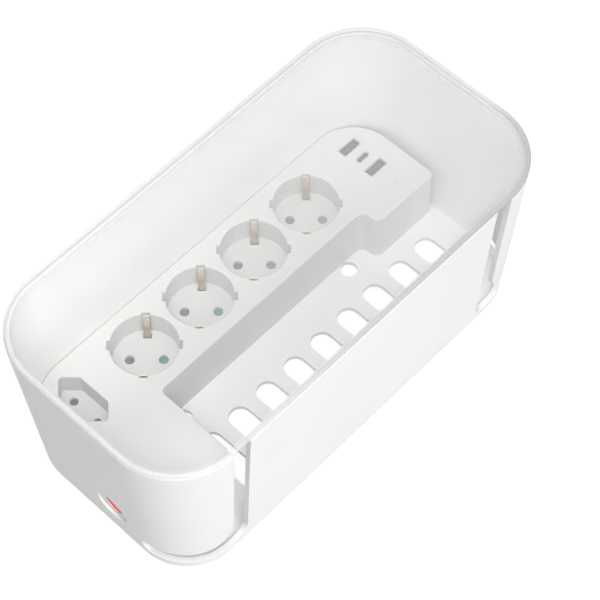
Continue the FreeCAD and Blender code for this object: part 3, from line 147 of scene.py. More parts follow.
def ranged(tree, source, low, high, start=0.35, end=0.65):
    """A number that goes from low to high while the source goes from start to end. Most of a noise's values
    lie between the two that are given if none are named."""
    span = add(tree, "MapRange",
               values={"From Min": start, "From Max": end, "To Min": low, "To Max": high},
               links={"Value": source})
    return span.outputs["Result"]


def tint(tree, share, first, second):
    """A colour between two, each a hex shade or an output."""
    mix = add(tree, "Mix", settings={"data_type": "RGBA"}, links={0: share})
    for socket, colour in ((6, first), (7, second)):
        if isinstance(colour, str):
            mix.inputs[socket].default_value = linear(colour)
        else:
            tree.links.new(colour, mix.inputs[socket])
    return mix.outputs[2]


def clouded(tree, cloud, first, second):
    """A colour that drifts between two hex shades with a noise."""
    return tint(tree, ranged(tree, cloud, 0, 1), first, second)


def count(tree, operation, first, second=None):
    """One sum on outputs or plain numbers."""
    node = add(tree, "Math", settings={"operation": operation})
    for socket, term in ((0, first), (1, second)):
        if isinstance(term, (int, float)):
            node.inputs[socket].default_value = term
        elif term is not None:
            tree.links.new(term, node.inputs[socket])
    return node.outputs[0]


def axes(tree, place):
    """The three coordinates apart."""
    return add(tree, "SeparateXYZ", links={"Vector": place}).outputs


def dent(tree, shader, height, depth):
    """Bump of a real depth in metres."""
    bump = add(tree, "Bump", values={"Distance": depth}, links={"Height": height})
    tree.links.new(bump.outputs["Normal"], shader.inputs["Normal"])


def feed(tree, shader, colour, roughness=None):
    """Links a shader's colour, and its roughness where that varies."""
    for socket, source in (("Base Color", colour), ("Roughness", roughness)):
        if source is not None:
            tree.links.new(source, shader.inputs[socket])


# Finishes

def satin_abs_shell():
    """ABS, injection moulded in a satin tool: even cool white with a soft sheen and a faint orange peel."""
    material, tree, shader, place = start_finish("satin_abs_shell", {"IOR": 1.53})
    flow = mottle(tree, place, 70 * MM, detail=1.0)
    peel = mottle(tree, place, 2.4 * MM)
    feed(tree, shader, clouded(tree, flow, "F4F4F3", "F6F6F5"), ranged(tree, peel, 0.34, 0.42))
    dent(tree, shader, peel, 0.012 * MM)
    return material


def spark_eroded_abs():
    """ABS, moulded in a spark-eroded tool: a shade greyer than the shell, matt, with a fine even grain."""
    material, tree, shader, place = start_finish("spark_eroded_abs", {"IOR": 1.53})
    flow = mottle(tree, place, 55 * MM, detail=1.0)
    grain = mottle(tree, place, 0.9 * MM, detail=3.0)
    feed(tree, shader, clouded(tree, flow, "DBDBDA", "DEDEDD"), ranged(tree, grain, 0.52, 0.64))
    dent(tree, shader, grain, 0.02 * MM)
    return material


LID_CORNER = 40.2 * MM
BORDER_START = LID_CORNER - 3.6 * MM
BORDER_FULL = LID_CORNER - 2.6 * MM


def clear_polycarbonate_sheet():
    """Polycarbonate, moulded clear: a thin veil, milkier towards the USB end as painted light, and a greyer,
    denser border with painted shade that deepens towards the near side and the USB end.
    """
    material, tree, shader, place = start_finish("clear_polycarbonate_sheet", {"IOR": 1.58, "Roughness": 0.2})
    haze = mottle(tree, place, 40 * MM, detail=1.0)
    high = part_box("lid")[1]
    straight = Vector((high.x - LID_CORNER, high.y - LID_CORNER, 1))
    folded = add(tree, "VectorMath", settings={"operation": "ABSOLUTE"}, links={0: place})
    past = add(tree, "VectorMath", settings={"operation": "SUBTRACT"}, values={1: straight},
               links={0: folded.outputs["Vector"]})
    corner = add(tree, "VectorMath", settings={"operation": "MAXIMUM"}, values={1: (0, 0, 0)},
                 links={0: past.outputs["Vector"]})
    reach = add(tree, "VectorMath", settings={"operation": "LENGTH"},
                links={0: corner.outputs["Vector"]}).outputs["Value"]
    border = ranged(tree, reach, 0, 1, BORDER_START, BORDER_FULL)
    parts = axes(tree, place)
    along = parts["X"]
    # Painted shade: the border's grey deepens and its veil thickens towards the near side and the USB end.
    near = count(tree, "MULTIPLY", ranged(tree, parts["Y"], 1, 0, -60 * MM, -20 * MM),
                 ranged(tree, along, 0, 1, -110 * MM, 110 * MM))
    grey = tint(tree, near, "E2E3E3", "B6B7B7")
    pale = clouded(tree, haze, "F6F7F7", "FCFCFC")
    feed(tree, shader, tint(tree, border, pale, grey))
    see = add(tree, "BsdfTransparent", values={"Color": WHITE})
    # Painted light: a faint haze that grows along X, so the lid reads brighter towards the USB end.
    haze_and_painted_light = ranged(tree, along, 0.02, 0.26, -145 * MM, 145 * MM)
    density_and_shade = ranged(tree, near, 0.25, 0.7, 0, 1)
    veil = count(tree, "ADD", haze_and_painted_light, count(tree, "MULTIPLY", border, density_and_shade))
    joined = add(tree, "MixShader", links={0: veil, 1: see.outputs[0], 2: shader.outputs[0]})
    tree.links.new(joined.outputs[0], tree.nodes["Material Output"].inputs["Surface"])
    return material


def red_clear_polycarbonate():
    """Polycarbonate, moulded clear red and finely grained: a painted glow for the lamp behind it, and painted
    shade at the two ends.
    """
    material, tree, shader, place = start_finish("red_clear_polycarbonate", {
        "IOR": 1.58, "Specular IOR Level": 0.08, "Emission Strength": 0.5,
    })
    low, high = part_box("switch_rocker")
    middle = (low + high) / 2
    centred = add(tree, "Mapping", values={"Location": -middle}, links={"Vector": place})
    aside = count(tree, "ABSOLUTE", axes(tree, centred.outputs["Vector"])["Y"])
    # Painted shade: colour and glow darken from the middle towards both ends.
    rim = ranged(tree, aside, 0, 1, 3.0 * MM, 5.4 * MM)
    cloud = mottle(tree, place, 1.6 * MM)
    body = tint(tree, ranged(tree, cloud, 0, 0.2), tint(tree, rim, "E03A42", "4A1016"), "E8828A")
    feed(tree, shader, body, ranged(tree, cloud, 0.3, 0.4))
    # Painted glow: the rocker's emission stands for the lamp's light shining through it.
    tree.links.new(tint(tree, rim, "E0262E", "300608"), shader.inputs["Emission Color"])
    dent(tree, shader, cloud, 0.01 * MM)
    return material


def moulded_rubber():
    """Thermoplastic rubber, moulded: dark grey, dead matt, with a dusty bloom."""
    material, tree, shader, place = start_finish("moulded_rubber", {"IOR": 1.5, "Sheen Weight": 0.15})
    bloom = mottle(tree, place, 1.4 * MM, detail=4.0)
    feed(tree, shader, clouded(tree, bloom, "47474A", "545457"), ranged(tree, bloom, 0.7, 0.85))
    dent(tree, shader, bloom, 0.04 * MM)
    return material


def rolled_nickel_brass():
    """Brass strip, punched and nickel plated: a painted highlight makes it pale and bright towards the tip,
    and painted shade makes it duller below.
    """
    material, tree, shader, place = start_finish("rolled_nickel_brass", {"Metallic": 1})
    streak = mottle(tree, place, 0.35 * MM, stretch=(1, 1, 0.06))
    # Painted light: paler towards the top, darker lower down where shade falls.
    painted_highlight_share = ranged(tree, axes(tree, place)["Z"], 0, 1, 33 * MM, 40 * MM)
    feed(tree, shader, tint(tree, painted_highlight_share, "B7A896", "FFF1E2"), ranged(tree, streak, 0.24, 0.36))
    dent(tree, shader, streak, 0.006 * MM)
    return material


def rolled_brass_bar():
    """Brass strip, rolled bright: yellow metal with streaks along the bar and slightly dulled patches."""
    material, tree, shader, place = start_finish("rolled_brass_bar", {"Metallic": 1})
    streak = mottle(tree, place, 0.4 * MM, stretch=(0.05, 1, 1))
    patch = mottle(tree, place, 7 * MM, detail=3.0)
    feed(tree, shader, clouded(tree, patch, "C9A860", "DCC07C"), ranged(tree, streak, 0.22, 0.38))
    dent(tree, shader, streak, 0.008 * MM)
    return material


def drawn_nickel_steel():
    """Steel sheet, deep drawn and nickel plated: bright neutral metal with faint draw lines up its sides."""
    material, tree, shader, place = start_finish("drawn_nickel_steel", {"Metallic": 1})
    line = mottle(tree, place, 0.3 * MM, stretch=(1, 1, 0.05))
    feed(tree, shader, clouded(tree, line, "BDBDBB", "D2D2CF"), ranged(tree, line, 0.18, 0.3))
    dent(tree, shader, line, 0.005 * MM)
    return material


def zinc_plated_steel():
    """Steel screws, headed, rolled and zinc plated: bluish bright metal, softly cloudy."""
    material, tree, shader, place = start_finish("zinc_plated_steel", {"Metallic": 1})
    cloud = mottle(tree, place, 0.9 * MM, detail=3.0)
    feed(tree, shader, clouded(tree, cloud, "A9AEB4", "C6CACD"), ranged(tree, cloud, 0.26, 0.42))
    dent(tree, shader, cloud, 0.01 * MM)
    return material


def drawn_spring_wire():
    """Carbon steel wire, drawn and coiled: grey with fine lengthwise die marks."""
    material, tree, shader, place = start_finish("drawn_spring_wire", {"Metallic": 1})
    mark = mottle(tree, place, 0.2 * MM, stretch=(0.3, 0.3, 1))
    feed(tree, shader, clouded(tree, mark, "8F9092", "B2B3B4"), ranged(tree, mark, 0.25, 0.4))
    dent(tree, shader, mark, 0.005 * MM)
    return material


def moulded_black_nylon():
    """Nylon, moulded black: deep charcoal with a low sheen and a slightly cloudy skin."""
    material, tree, shader, place = start_finish("moulded_black_nylon", {"IOR": 1.53})
    cloud = mottle(tree, place, 1.2 * MM, detail=3.0)
    feed(tree, shader, clouded(tree, cloud, "1D1D1F", "28282A"), ranged(tree, cloud, 0.4, 0.55))
    dent(tree, shader, cloud, 0.02 * MM)
    return material


def moulded_white_nylon():
    """Nylon, moulded in its own colour: milky white with a soft wax-like sheen."""
    material, tree, shader, place = start_finish("moulded_white_nylon", {
        "IOR": 1.53, "Subsurface Weight": 0.15, "Subsurface Radius": (1, 1, 1), "Subsurface Scale": 1.5 * MM,
    })
    cloud = mottle(tree, place, 6 * MM)
    feed(tree, shader, clouded(tree, cloud, "E2E0D8", "EAE9E3"), ranged(tree, cloud, 0.36, 0.46))
    dent(tree, shader, cloud, 0.02 * MM)
    return material


def moulded_acetal_shutter(name, x, y, turn):
    """Acetal, moulded: slippery grey-green plastic, greener towards the end that the right pin meets."""
    material, tree, shader, place = start_finish(name, {"IOR": 1.48})
    local = add(tree, "Mapping", settings={"vector_type": "TEXTURE"},
                values={"Location": (x, y, 0), "Rotation": (0, 0, turn)}, links={"Vector": place})
    along = axes(tree, local.outputs["Vector"])["X"]
    cloud = mottle(tree, place, 1.5 * MM)
    shade = tint(tree, ranged(tree, along, 0, 1, -2 * MM, 2 * MM), "70767A", "649985")
    bloomed = tint(tree, ranged(tree, cloud, 0, 0.15), shade, "AEB8B4")
    feed(tree, shader, bloomed, ranged(tree, cloud, 0.3, 0.42))
    dent(tree, shader, cloud, 0.01 * MM)
    return material


def etched_circuit_board():
    """Glass-epoxy board with copper tracks under green lacquer: raised paler tracks on a darker ground."""
    material, tree, shader, place = start_finish("etched_circuit_board", {"IOR": 1.55, "Coat Weight": 0.3})
    ground = {"Color1": linear("0E5A2E"), "Color2": linear("0B4A27"), "Mortar": linear("2C8A4C")}
    tracks = {"Scale": 1.0, "Mortar Size": 0.35 * MM, "Brick Width": 5.2 * MM, "Row Height": 2.6 * MM,
              "Mortar Smooth": 0.1}
    squares = add(tree, "TexBrick", settings={"offset": 0.35, "squash": 0.6, "squash_frequency": 3},
                  values={**ground, **tracks}, links={"Vector": place})
    weave = mottle(tree, place, 0.5 * MM)
    upright = axes(tree, add(tree, "NewGeometry").outputs["Normal"])["Z"]
    flat = ranged(tree, count(tree, "ABSOLUTE", upright), 0, 1, 0.4, 0.6)
    feed(tree, shader, tint(tree, flat, "A79B62", squares.outputs["Color"]), ranged(tree, weave, 0.22, 0.36))
    dent(tree, shader, squares.outputs["Fac"], 0.035 * MM)
    return material


def sleeved_capacitor_can():
    """Drawn aluminium can in a shrunk plastic sleeve: dark sleeve with one pale stripe, bare metal on top."""
    material, tree, shader, place = start_finish("sleeved_capacitor_can", {"IOR": 1.5})
    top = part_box("board_capacitors")[1].z
    facing = axes(tree, add(tree, "NewGeometry").outputs["Normal"])
    bare = ranged(tree, axes(tree, place)["Z"], 0, 1, top - 0.55 * MM, top - 0.5 * MM)
    stripe = ranged(tree, facing["X"], 0, 1, 0.86, 0.9)
    cloud = mottle(tree, place, 0.8 * MM)
    sleeve = tint(tree, stripe, "23262E", "B9BCC2")
    metal = clouded(tree, cloud, "C2C4C7", "D6D8DA")
    feed(tree, shader, tint(tree, bare, sleeve, metal), ranged(tree, cloud, 0.24, 0.36))
    tree.links.new(bare, shader.inputs["Metallic"])
    dent(tree, shader, cloud, 0.01 * MM)
    return material


def taped_ferrite_core():
    """Sintered ferrite frame round a taped winding: dull dark ceramic, glossy amber tape with lapped edges.
    The winding stands out of the frame at its two sides along Y."""
    material, tree, shader, place = start_finish("taped_ferrite_core", {"IOR": 1.6})
    low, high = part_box("transformer")
    half_wide = (high.y - low.y) / 2
    aside = count(tree, "ABSOLUTE", count(tree, "SUBTRACT", axes(tree, place)["Y"], (low.y + high.y) / 2))
    tape = ranged(tree, aside, 0, 1, half_wide - 1.45 * MM, half_wide - 1.4 * MM)
    laps = add(tree, "TexWave", settings={"bands_direction": "Z"},
               values={"Scale": 1 / (2.4 * MM * math.tau), "Distortion": 0.4}, links={"Vector": place})
    grit = mottle(tree, place, 0.5 * MM, detail=4.0)
    amber = tint(tree, laps.outputs["Fac"], "B9841F", "D9A93A")
    ferrite = clouded(tree, grit, "2B2B2E", "3A3A3D")
    feed(tree, shader, tint(tree, tape, ferrite, amber), ranged(tree, tape, 0.72, 0.18, 0, 1))
    dent(tree, shader, grit, 0.03 * MM)
    return material


def epoxy_chip():
    """Transfer-moulded epoxy: near black, matt, with a sandy skin."""
    material, tree, shader, place = start_finish("epoxy_chip", {"IOR": 1.55})
    sand = mottle(tree, place, 0.25 * MM, detail=3.0)
    feed(tree, shader, clouded(tree, sand, "18181A", "252528"), ranged(tree, sand, 0.5, 0.66))
    dent(tree, shader, sand, 0.01 * MM)
    return material


def extruded_pvc(name, light, dark):
    """PVC, extruded on the wire: even colour and a soft gloss, with a slow waviness from the die."""
    material, tree, shader, place = start_finish(name, {"IOR": 1.53})
    wave = mottle(tree, place, 2.0 * MM)
    feed(tree, shader, tint(tree, ranged(tree, wave, 0, 1), dark, light), ranged(tree, wave, 0.26, 0.36))
    dent(tree, shader, wave, 0.02 * MM)
    return material


def striped_earth_pvc():
    """PVC in two colours, extruded together: a yellow stripe on green, as an earth wire has."""
    material, tree, shader, place = start_finish("striped_earth_pvc", {"IOR": 1.53})
    facing = add(tree, "VectorMath", settings={"operation": "DOT_PRODUCT"}, values={1: (0.75, -0.2, 0.63)},
                 links={0: add(tree, "NewGeometry").outputs["Normal"]}).outputs["Value"]
    stripe = ranged(tree, facing, 0, 1, 0.22, 0.26)
    wave = mottle(tree, place, 2.0 * MM)
    feed(tree, shader, tint(tree, stripe, "2E7A34", "E4CF3A"), ranged(tree, wave, 0.26, 0.36))
    dent(tree, shader, wave, 0.02 * MM)
    return material


def glowing_lamp_glass():
    """Small neon lamp: clear drawn glass with an orange glow that drifts between two shades."""
    material, tree, shader, place = start_finish("glowing_lamp_glass", {"IOR": 1.5, "Emission Strength": 0.8})
    cloud = mottle(tree, place, 1.0 * MM)
    colour = clouded(tree, cloud, "F0905A", "FFC08A")
    feed(tree, shader, colour, ranged(tree, cloud, 0.05, 0.12))
    tree.links.new(colour, shader.inputs["Emission Color"])
    return material


def gold_flashed_contact():
    """Bronze contact, punched and flashed with gold: small bright yellow strips with brushed streaks."""
    material, tree, shader, place = start_finish("gold_flashed_contact", {"Metallic": 1})
    streak = mottle(tree, place, 0.25 * MM, stretch=(1, 1, 0.08))
    feed(tree, shader, clouded(tree, streak, "D9B45A", "EBCB7A"), ranged(tree, streak, 0.18, 0.3))
    return material


def reflowed_tin():
    """Tin solder, melted and set: bright grey with soft dimples."""
    material, tree, shader, place = start_finish("reflowed_tin", {"Metallic": 1})
    dimple = mottle(tree, place, 0.5 * MM)
    feed(tree, shader, clouded(tree, dimple, "B4B6B8", "D0D1D2"), ranged(tree, dimple, 0.2, 0.35))
    dent(tree, shader, dimple, 0.03 * MM)
    return material


def pad_printed_ink():
    """Pad-printed ink: light grey, a little broken where the film is thin."""
    material, tree, shader, place = start_finish("pad_printed_ink", {"IOR": 1.5})
    film = mottle(tree, place, 0.5 * MM, detail=3.0)
    feed(tree, shader, clouded(tree, film, "B4B4B4", "C9C9C9"), ranged(tree, film, 0.45, 0.6))
    return material


# Pieces

SHARP_ANGLE = math.radians(35)
MERGE_UNDER = 0.001 * MM


def make_piece(name, shape, material):
    """Turns a bmesh in its final place into a piece that rides on the box."""
    bmesh.ops.recalc_face_normals(shape, faces=shape.faces)
    mesh = bpy.data.meshes.new(name)
    shape.to_mesh(mesh)
    shape.free()
    mesh.shade_smooth()
    mesh.set_sharp_from_angle(angle=SHARP_ANGLE)
    mesh.materials.append(material)
    piece = bpy.data.objects.new(name, mesh)
    bpy.context.scene.collection.objects.link(piece)
    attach(piece, "box")
    return piece


def add_block(shape, centre, lengths, bevel=0.0):
    """Adds a box, with softened edges if a bevel is given."""
    at = Matrix.Translation(Vector(centre) * MM) @ Matrix.Diagonal((*(Vector(lengths) * MM), 1))
    made = bmesh.ops.create_cube(shape, size=1, matrix=at)
    if bevel:
        edges = {edge for vert in made["verts"] for edge in vert.link_edges}
        bmesh.ops.bevel(shape, geom=list(edges), offset=bevel * MM, affect="EDGES", segments=2,
                        profile=0.5, material=-1)


def turned(profile, steps):
    """A closed body turned about the upright axis from radius and height pairs in millimetres."""
    shape = bmesh.new()
    verts = [shape.verts.new(Vector((radius, 0, height)) * MM) for radius, height in profile]
    edges = [shape.edges.new(pair) for pair in zip(verts, verts[1:])]
    bmesh.ops.spin(shape, geom=verts + edges, cent=(0, 0, 0), axis=(0, 0, 1), dvec=(0, 0, 0),
                   angle=math.tau, steps=steps, use_merge=True, use_normal_flip=False, use_duplicate=False)
    bmesh.ops.remove_doubles(shape, verts=shape.verts, dist=MERGE_UNDER)
    return shape


def as_mesh(shape):
    """A passing mesh with the shape's faces. The shape is freed."""
    loose = bpy.data.meshes.new("loose")
    shape.to_mesh(loose)
    shape.free()
    return loose


def merged(shapes):
    """One shape from several."""
    whole = bmesh.new()
    for shape in shapes:
        loose = as_mesh(shape)
        whole.from_mesh(loose)
        bpy.data.meshes.remove(loose)
    return whole


def repeated(shape, places):
    """Copies of a shape at places in millimetres."""
    single = as_mesh(shape)
    whole = bmesh.new()
    for place in places:
        before = len(whole.verts)
        whole.from_mesh(single)
        whole.verts.ensure_lookup_table()
        bmesh.ops.translate(whole, verts=whole.verts[before:], vec=Vector(place) * MM)
    bpy.data.meshes.remove(single)
    return whole


# Places of the nodes that carry fittings, in millimetres. What lies on a node takes its place from it.

def corners(name):
    """A node's low and high corners."""
    low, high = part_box(name)
    return low / MM, high / MM


def middle(name):
    """The middle of a node's box."""
    low, high = corners(name)
    return (low + high) / 2


def three_along_y(name, half_wide):
    """The middles of a node's three pieces in a row, each given by half its width."""
    low, high = corners(name)
    rows = (low.y + half_wide, (low.y + high.y) / 2, high.y - half_wide)
    return [((low.x + high.x) / 2, y, low.z) for y in rows]


USB_X = middle("usb_port_1").x
WIDE_PORTS_Y = (middle("usb_port_1").y, middle("usb_port_3").y)
SLIM_PORT_Y = middle("usb_port_2").y
BOARD_UNDER, BOARD_TOP = (corner.z for corner in corners("power_board"))
CAN_RADIUS = 3.1
CAN_TALL = 10.0
CAPACITORS = three_along_y("board_capacitors", CAN_RADIUS)
CHIP_SIDE = 5.0
CHIPS = three_along_y("board_chips", CHIP_SIDE / 2)
DECK_TOP = corners("socket_cover")[1].z


# Fittings, in millimetres. A size written as three numbers is along X, Y and Z.

FINE_BEVEL = 0.04
WIDE_STRIP = (1.1, 0.12, 9.6)
WIDE_STRIPS_X = (-3.5, -1.25, 1.25, 3.5)
WIDE_STRIP_ASIDE = 0.29
WIDE_STRIP_Z = 36.2
SLIM_STRIP = (0.4, 0.06, 7.6)
SLIM_STRIPS = 6
SLIM_PITCH = 0.8
SLIM_STRIP_ASIDE = 0.38
SLIM_STRIP_Z = 37.2


def make_port_contacts(material):
    """Four gold strips down the tongue of each wide port, six fine ones on each face of the slim tongue."""
    shape = bmesh.new()
    for port in WIDE_PORTS_Y:
        for x in WIDE_STRIPS_X:
            place = (USB_X + x, port + WIDE_STRIP_ASIDE, WIDE_STRIP_Z)
            add_block(shape, place, WIDE_STRIP, FINE_BEVEL)
    for side in (-1, 1):
        for step in range(SLIM_STRIPS):
            x = USB_X + (step - (SLIM_STRIPS - 1) / 2) * SLIM_PITCH
            add_block(shape, (x, SLIM_PORT_Y + side * SLIM_STRIP_ASIDE, SLIM_STRIP_Z), SLIM_STRIP)
    make_piece("port_contacts", shape, material)


# From the top down, each point as what it lies inside the can's radius and above its foot or under its top
CAN_CRIMP = ((0.75, 0), (0.55, 0.15), (0.35, 0.05), (0.1, 0.15), (0, 0.4))
CAN_BEAD = ((0, 2.2), (0.2, 1.8), (0.25, 1.55), (0.2, 1.3), (0, 0.95), (0, 0.3), (0.15, 0))
CAN_STEPS = 40


def make_capacitors(material):
    """Round cans with a rolled bead near the foot and a crimped top, in place of plain cylinders."""
    profile = [(0, CAN_TALL)]
    profile += [(CAN_RADIUS - inside, CAN_TALL - under) for inside, under in CAN_CRIMP]
    profile += [(CAN_RADIUS - inside, above) for inside, above in CAN_BEAD]
    profile.append((0, 0))
    cans = repeated(turned(profile, CAN_STEPS), CAPACITORS)
    piece = make_piece("capacitor_cans", cans, material)
    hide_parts("board_capacitors")


BLOCK_PITCH = 9.0
BLOCK_HOLE_DEEP = 3.0
SCREW_RADIUS = 1.85
SCREW_TALL = 1.65
SCREW_CHAMFER = 0.15
SCREW_HEAD_TOP = 2.2
SCREW_SINK = 0.05
SCREW_SLOT_HALF = 0.3
SCREW_STEPS = 28


def make_block_screws(material):
    """Slotted clamp screws down the three holes of the terminal block."""
    neck = SCREW_RADIUS - SCREW_CHAMFER
    base = SCREW_TALL - SCREW_SINK
    halves = []
    for side in (-1, 1):
        half = turned([(0, base), (neck, base), (neck - SCREW_CHAMFER, SCREW_HEAD_TOP), (0, SCREW_HEAD_TOP)],
                      SCREW_STEPS)
        cut = bmesh.ops.bisect_plane(half, geom=half.verts[:] + half.edges[:] + half.faces[:],
                                     plane_co=(0, side * SCREW_SLOT_HALF * MM, 0), plane_no=(0, -side, 0),
                                     clear_outer=True)
        rim = [item for item in cut["geom_cut"] if isinstance(item, bmesh.types.BMEdge)]
        bmesh.ops.holes_fill(half, edges=rim)
        halves.append(half)
    stem = turned([(0, 0), (SCREW_RADIUS, 0), (SCREW_RADIUS, SCREW_TALL - SCREW_CHAMFER), (neck, SCREW_TALL),
                   (0, SCREW_TALL)], SCREW_STEPS)
    block = middle("terminal_block")
    seat = corners("terminal_block")[1].z - BLOCK_HOLE_DEEP
    places = [(block.x + step * BLOCK_PITCH, block.y, seat) for step in (-1, 0, 1)]
    make_piece("block_clamp_screws", repeated(merged([*halves, stem]), places), material)


LEG_WIDE = 0.42
LEG_THICK = 0.14
LEG_PITCH = 1.2
LEGS_A_SIDE = 4
SHOULDER_OUT, SHOULDER_RISE, SHOULDER_LONG = 2.7, 0.45, 0.5
SHANK_OUT, SHANK_RISE, SHANK_LONG = 2.95, 0.28, 0.48
FOOT_OUT, FOOT_RISE, FOOT_LONG = 3.2, 0.08, 0.6


def make_chip_legs(material):
    """Bent legs along two sides of each chip: a shoulder, a shank and a foot."""
    shape = bmesh.new()
    for x, y, z in CHIPS:
        for side in (-1, 1):
            for step in range(LEGS_A_SIDE):
                row = y + (step - (LEGS_A_SIDE - 1) / 2) * LEG_PITCH
                add_block(shape, (x + side * SHOULDER_OUT, row, z + SHOULDER_RISE),
                          (SHOULDER_LONG, LEG_WIDE, LEG_THICK))
                add_block(shape, (x + side * SHANK_OUT, row, z + SHANK_RISE),
                          (LEG_THICK, LEG_WIDE, SHANK_LONG))
                add_block(shape, (x + side * FOOT_OUT, row, z + FOOT_RISE),
                          (FOOT_LONG, LEG_WIDE, LEG_THICK))
    make_piece("chip_legs", shape, material)


RESISTORS = 5
RESISTOR_FIRST_X = 106.5
RESISTOR_Y = 23.4
RESISTOR_PITCH = 3.0
RESISTOR_BODY = (1.3, 1.2, 0.5)
RESISTOR_END = (0.34, 1.26, 0.54)
RESISTOR_END_OUT = 0.8
RESISTOR_BODY_RISE = 0.27
RESISTOR_END_RISE = 0.28


def make_small_parts(body_material, end_material):
    """A row of surface-mount resistors between the transformer and the first port."""
    bodies, ends = bmesh.new(), bmesh.new()
    for step in range(RESISTORS):
        x = RESISTOR_FIRST_X + step * RESISTOR_PITCH
        add_block(bodies, (x, RESISTOR_Y, BOARD_TOP + RESISTOR_BODY_RISE), RESISTOR_BODY, FINE_BEVEL)
        for side in (-1, 1):
            place = (x + side * RESISTOR_END_OUT, RESISTOR_Y, BOARD_TOP + RESISTOR_END_RISE)
            add_block(ends, place, RESISTOR_END, FINE_BEVEL)
    make_piece("resistor_bodies", bodies, body_material)
    make_piece("resistor_ends", ends, end_material)


CAN_PIN_ASIDE = 1.25
COIL_PINS_X = (-6, -2, 2, 6)
COIL_PINS_Y = (-5, 5)
SLIM_PINS_X = (-3, -1.5, 0, 1.5, 3)
PORT_PIN_ASIDE = 1
CONE_PROFILE = ((0, 0.1), (0.8, 0.1), (0.62, -0.2), (0.35, -0.65), (0.22, -0.9), (0, -0.95))
CONE_STEPS = 12


def make_solder_joints(material):
    """Small cones of solder under the board, one at each pin that comes through."""
    coil = middle("transformer")
    pins = [(x + side * CAN_PIN_ASIDE, y) for x, y, _ in CAPACITORS for side in (-1, 1)]
    pins += [(coil.x + x, coil.y + y) for x in COIL_PINS_X for y in COIL_PINS_Y]
    pins += [(USB_X + x, y + side * PORT_PIN_ASIDE)
             for y in WIDE_PORTS_Y for x in WIDE_STRIPS_X for side in (-1, 1)]
    pins += [(USB_X + x, SLIM_PORT_Y) for x in SLIM_PINS_X]
    cone = turned(CONE_PROFILE, CONE_STEPS)
    make_piece("solder_joints", repeated(cone, [(x, y, BOARD_UNDER) for x, y in pins]), material)


NUMBER_TALL = 4.2
NUMBER_PITCH = 10.7
NUMBER_Y = 12.4
INK_THICK = 0.02


def make_port_numbers(material):
    """Plain numbers for the three ports, printed on the deck beside them."""
    for number in (1, 2, 3):
        text = bpy.data.curves.new("number", "FONT")
        text.body = str(number)
        text.size = NUMBER_TALL * MM
        text.align_x = "CENTER"
        text.align_y = "CENTER"
        text.extrude = INK_THICK * MM
        flat = bpy.data.objects.new("number", text)
        shape = bmesh.new()
        loose = bpy.data.meshes.new_from_object(flat)
        shape.from_mesh(loose)
        bpy.data.objects.remove(flat)
        bpy.data.meshes.remove(loose)
        bmesh.ops.remove_doubles(shape, verts=shape.verts, dist=MERGE_UNDER)
        place = Vector((USB_X + (number - 2) * NUMBER_PITCH, NUMBER_Y, DECK_TOP + INK_THICK))
        bmesh.ops.translate(shape, verts=shape.verts, vec=place * MM)
        make_piece("port_number_%d" % number, shape, material)


FLANGE_RADIUS = 6.5
FLANGE_THICK = 3.0
BEAD_WIDE = 0.9
BEAD_TALL = 0.6
BEAD_ROUND = 0.15
BEADS_IN = (0.95, 2.3)
BEAD_STEPS = 48


def make_gland_ring(material):
    """Raised beads round the gland's flange, for grip when the nut is tightened."""
    inside = FLANGE_RADIUS - BEAD_TALL
    bead = turned([(inside, 0), (FLANGE_RADIUS, BEAD_ROUND), (FLANGE_RADIUS, BEAD_WIDE - BEAD_ROUND),
                   (inside, BEAD_WIDE)], BEAD_STEPS)
    lying = Matrix.Rotation(math.radians(90), 4, "X")
    bmesh.ops.transform(bead, matrix=lying, verts=bead.verts)
    nut = middle("gland_nut")
    flange_back = corners("mains_gland")[0].y + FLANGE_THICK
    places = [(nut.x, flange_back - step, nut.z) for step in BEADS_IN]
    make_piece("gland_beads", repeated(bead, places), material)


SOCKET_TURN = math.radians(-45.9)
EURO_TURN = math.radians(-90)
EURO_Y = 39.6
SHUTTER_WAY = Vector((math.cos(SOCKET_TURN), math.sin(SOCKET_TURN), 0))
EURO_SHUTTER_WAY = Vector((0, -1, 0))


def make_shutter_springs(material):
    """The shutters' coil springs again, as pieces of their own that ride on the box."""
    slides = {
        "shutter_spring_%d" % number: ("shutter_slide_%d" % number, SHUTTER_WAY) for number in range(1, 5)
    }
    slides["euro_spring"] = ("euro_shutter_slide", EURO_SHUTTER_WAY)
    for node, (joint, way) in slides.items():
        coil = bmesh.new()
        coil.from_mesh(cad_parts[node].data)
        piece = make_piece("wound_" + node, coil, material)
        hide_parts(node)
        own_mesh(piece)


# Studio

FLOOR_SIZE = 6
FLOOR_LIFT = 0.78
AMBIENT = 0.08
STUDIO_AIM = (0, 0, 0.05)
# Each lamp's place, the side of its square and its power in watts
SOFTBOXES = {
    "near_softbox": ((0, -1.65, 1.05), 1.2, 12.5),
    "corner_softbox": ((-0.65, -1.5, 0.95), 1.0, 12.5),
    "far_softbox": ((0, 1.6, 1.2), 1.2, 10),
    "right_softbox": ((1.7, 0, 1.1), 1.0, 2.5),
    "top_softbox": ((-0.4, -0.4, 1.7), 1.0, 21.5),
}


def share_seen(tree):
    """One where the eye, a reflection or a see-through piece looks straight at the studio, else nothing."""
    ray = add(tree, "LightPath").outputs
    through = count(tree, "MAXIMUM", ray["Is Glossy Ray"], ray["Is Transmission Ray"])
    return count(tree, "MAXIMUM", ray["Is Camera Ray"], through)


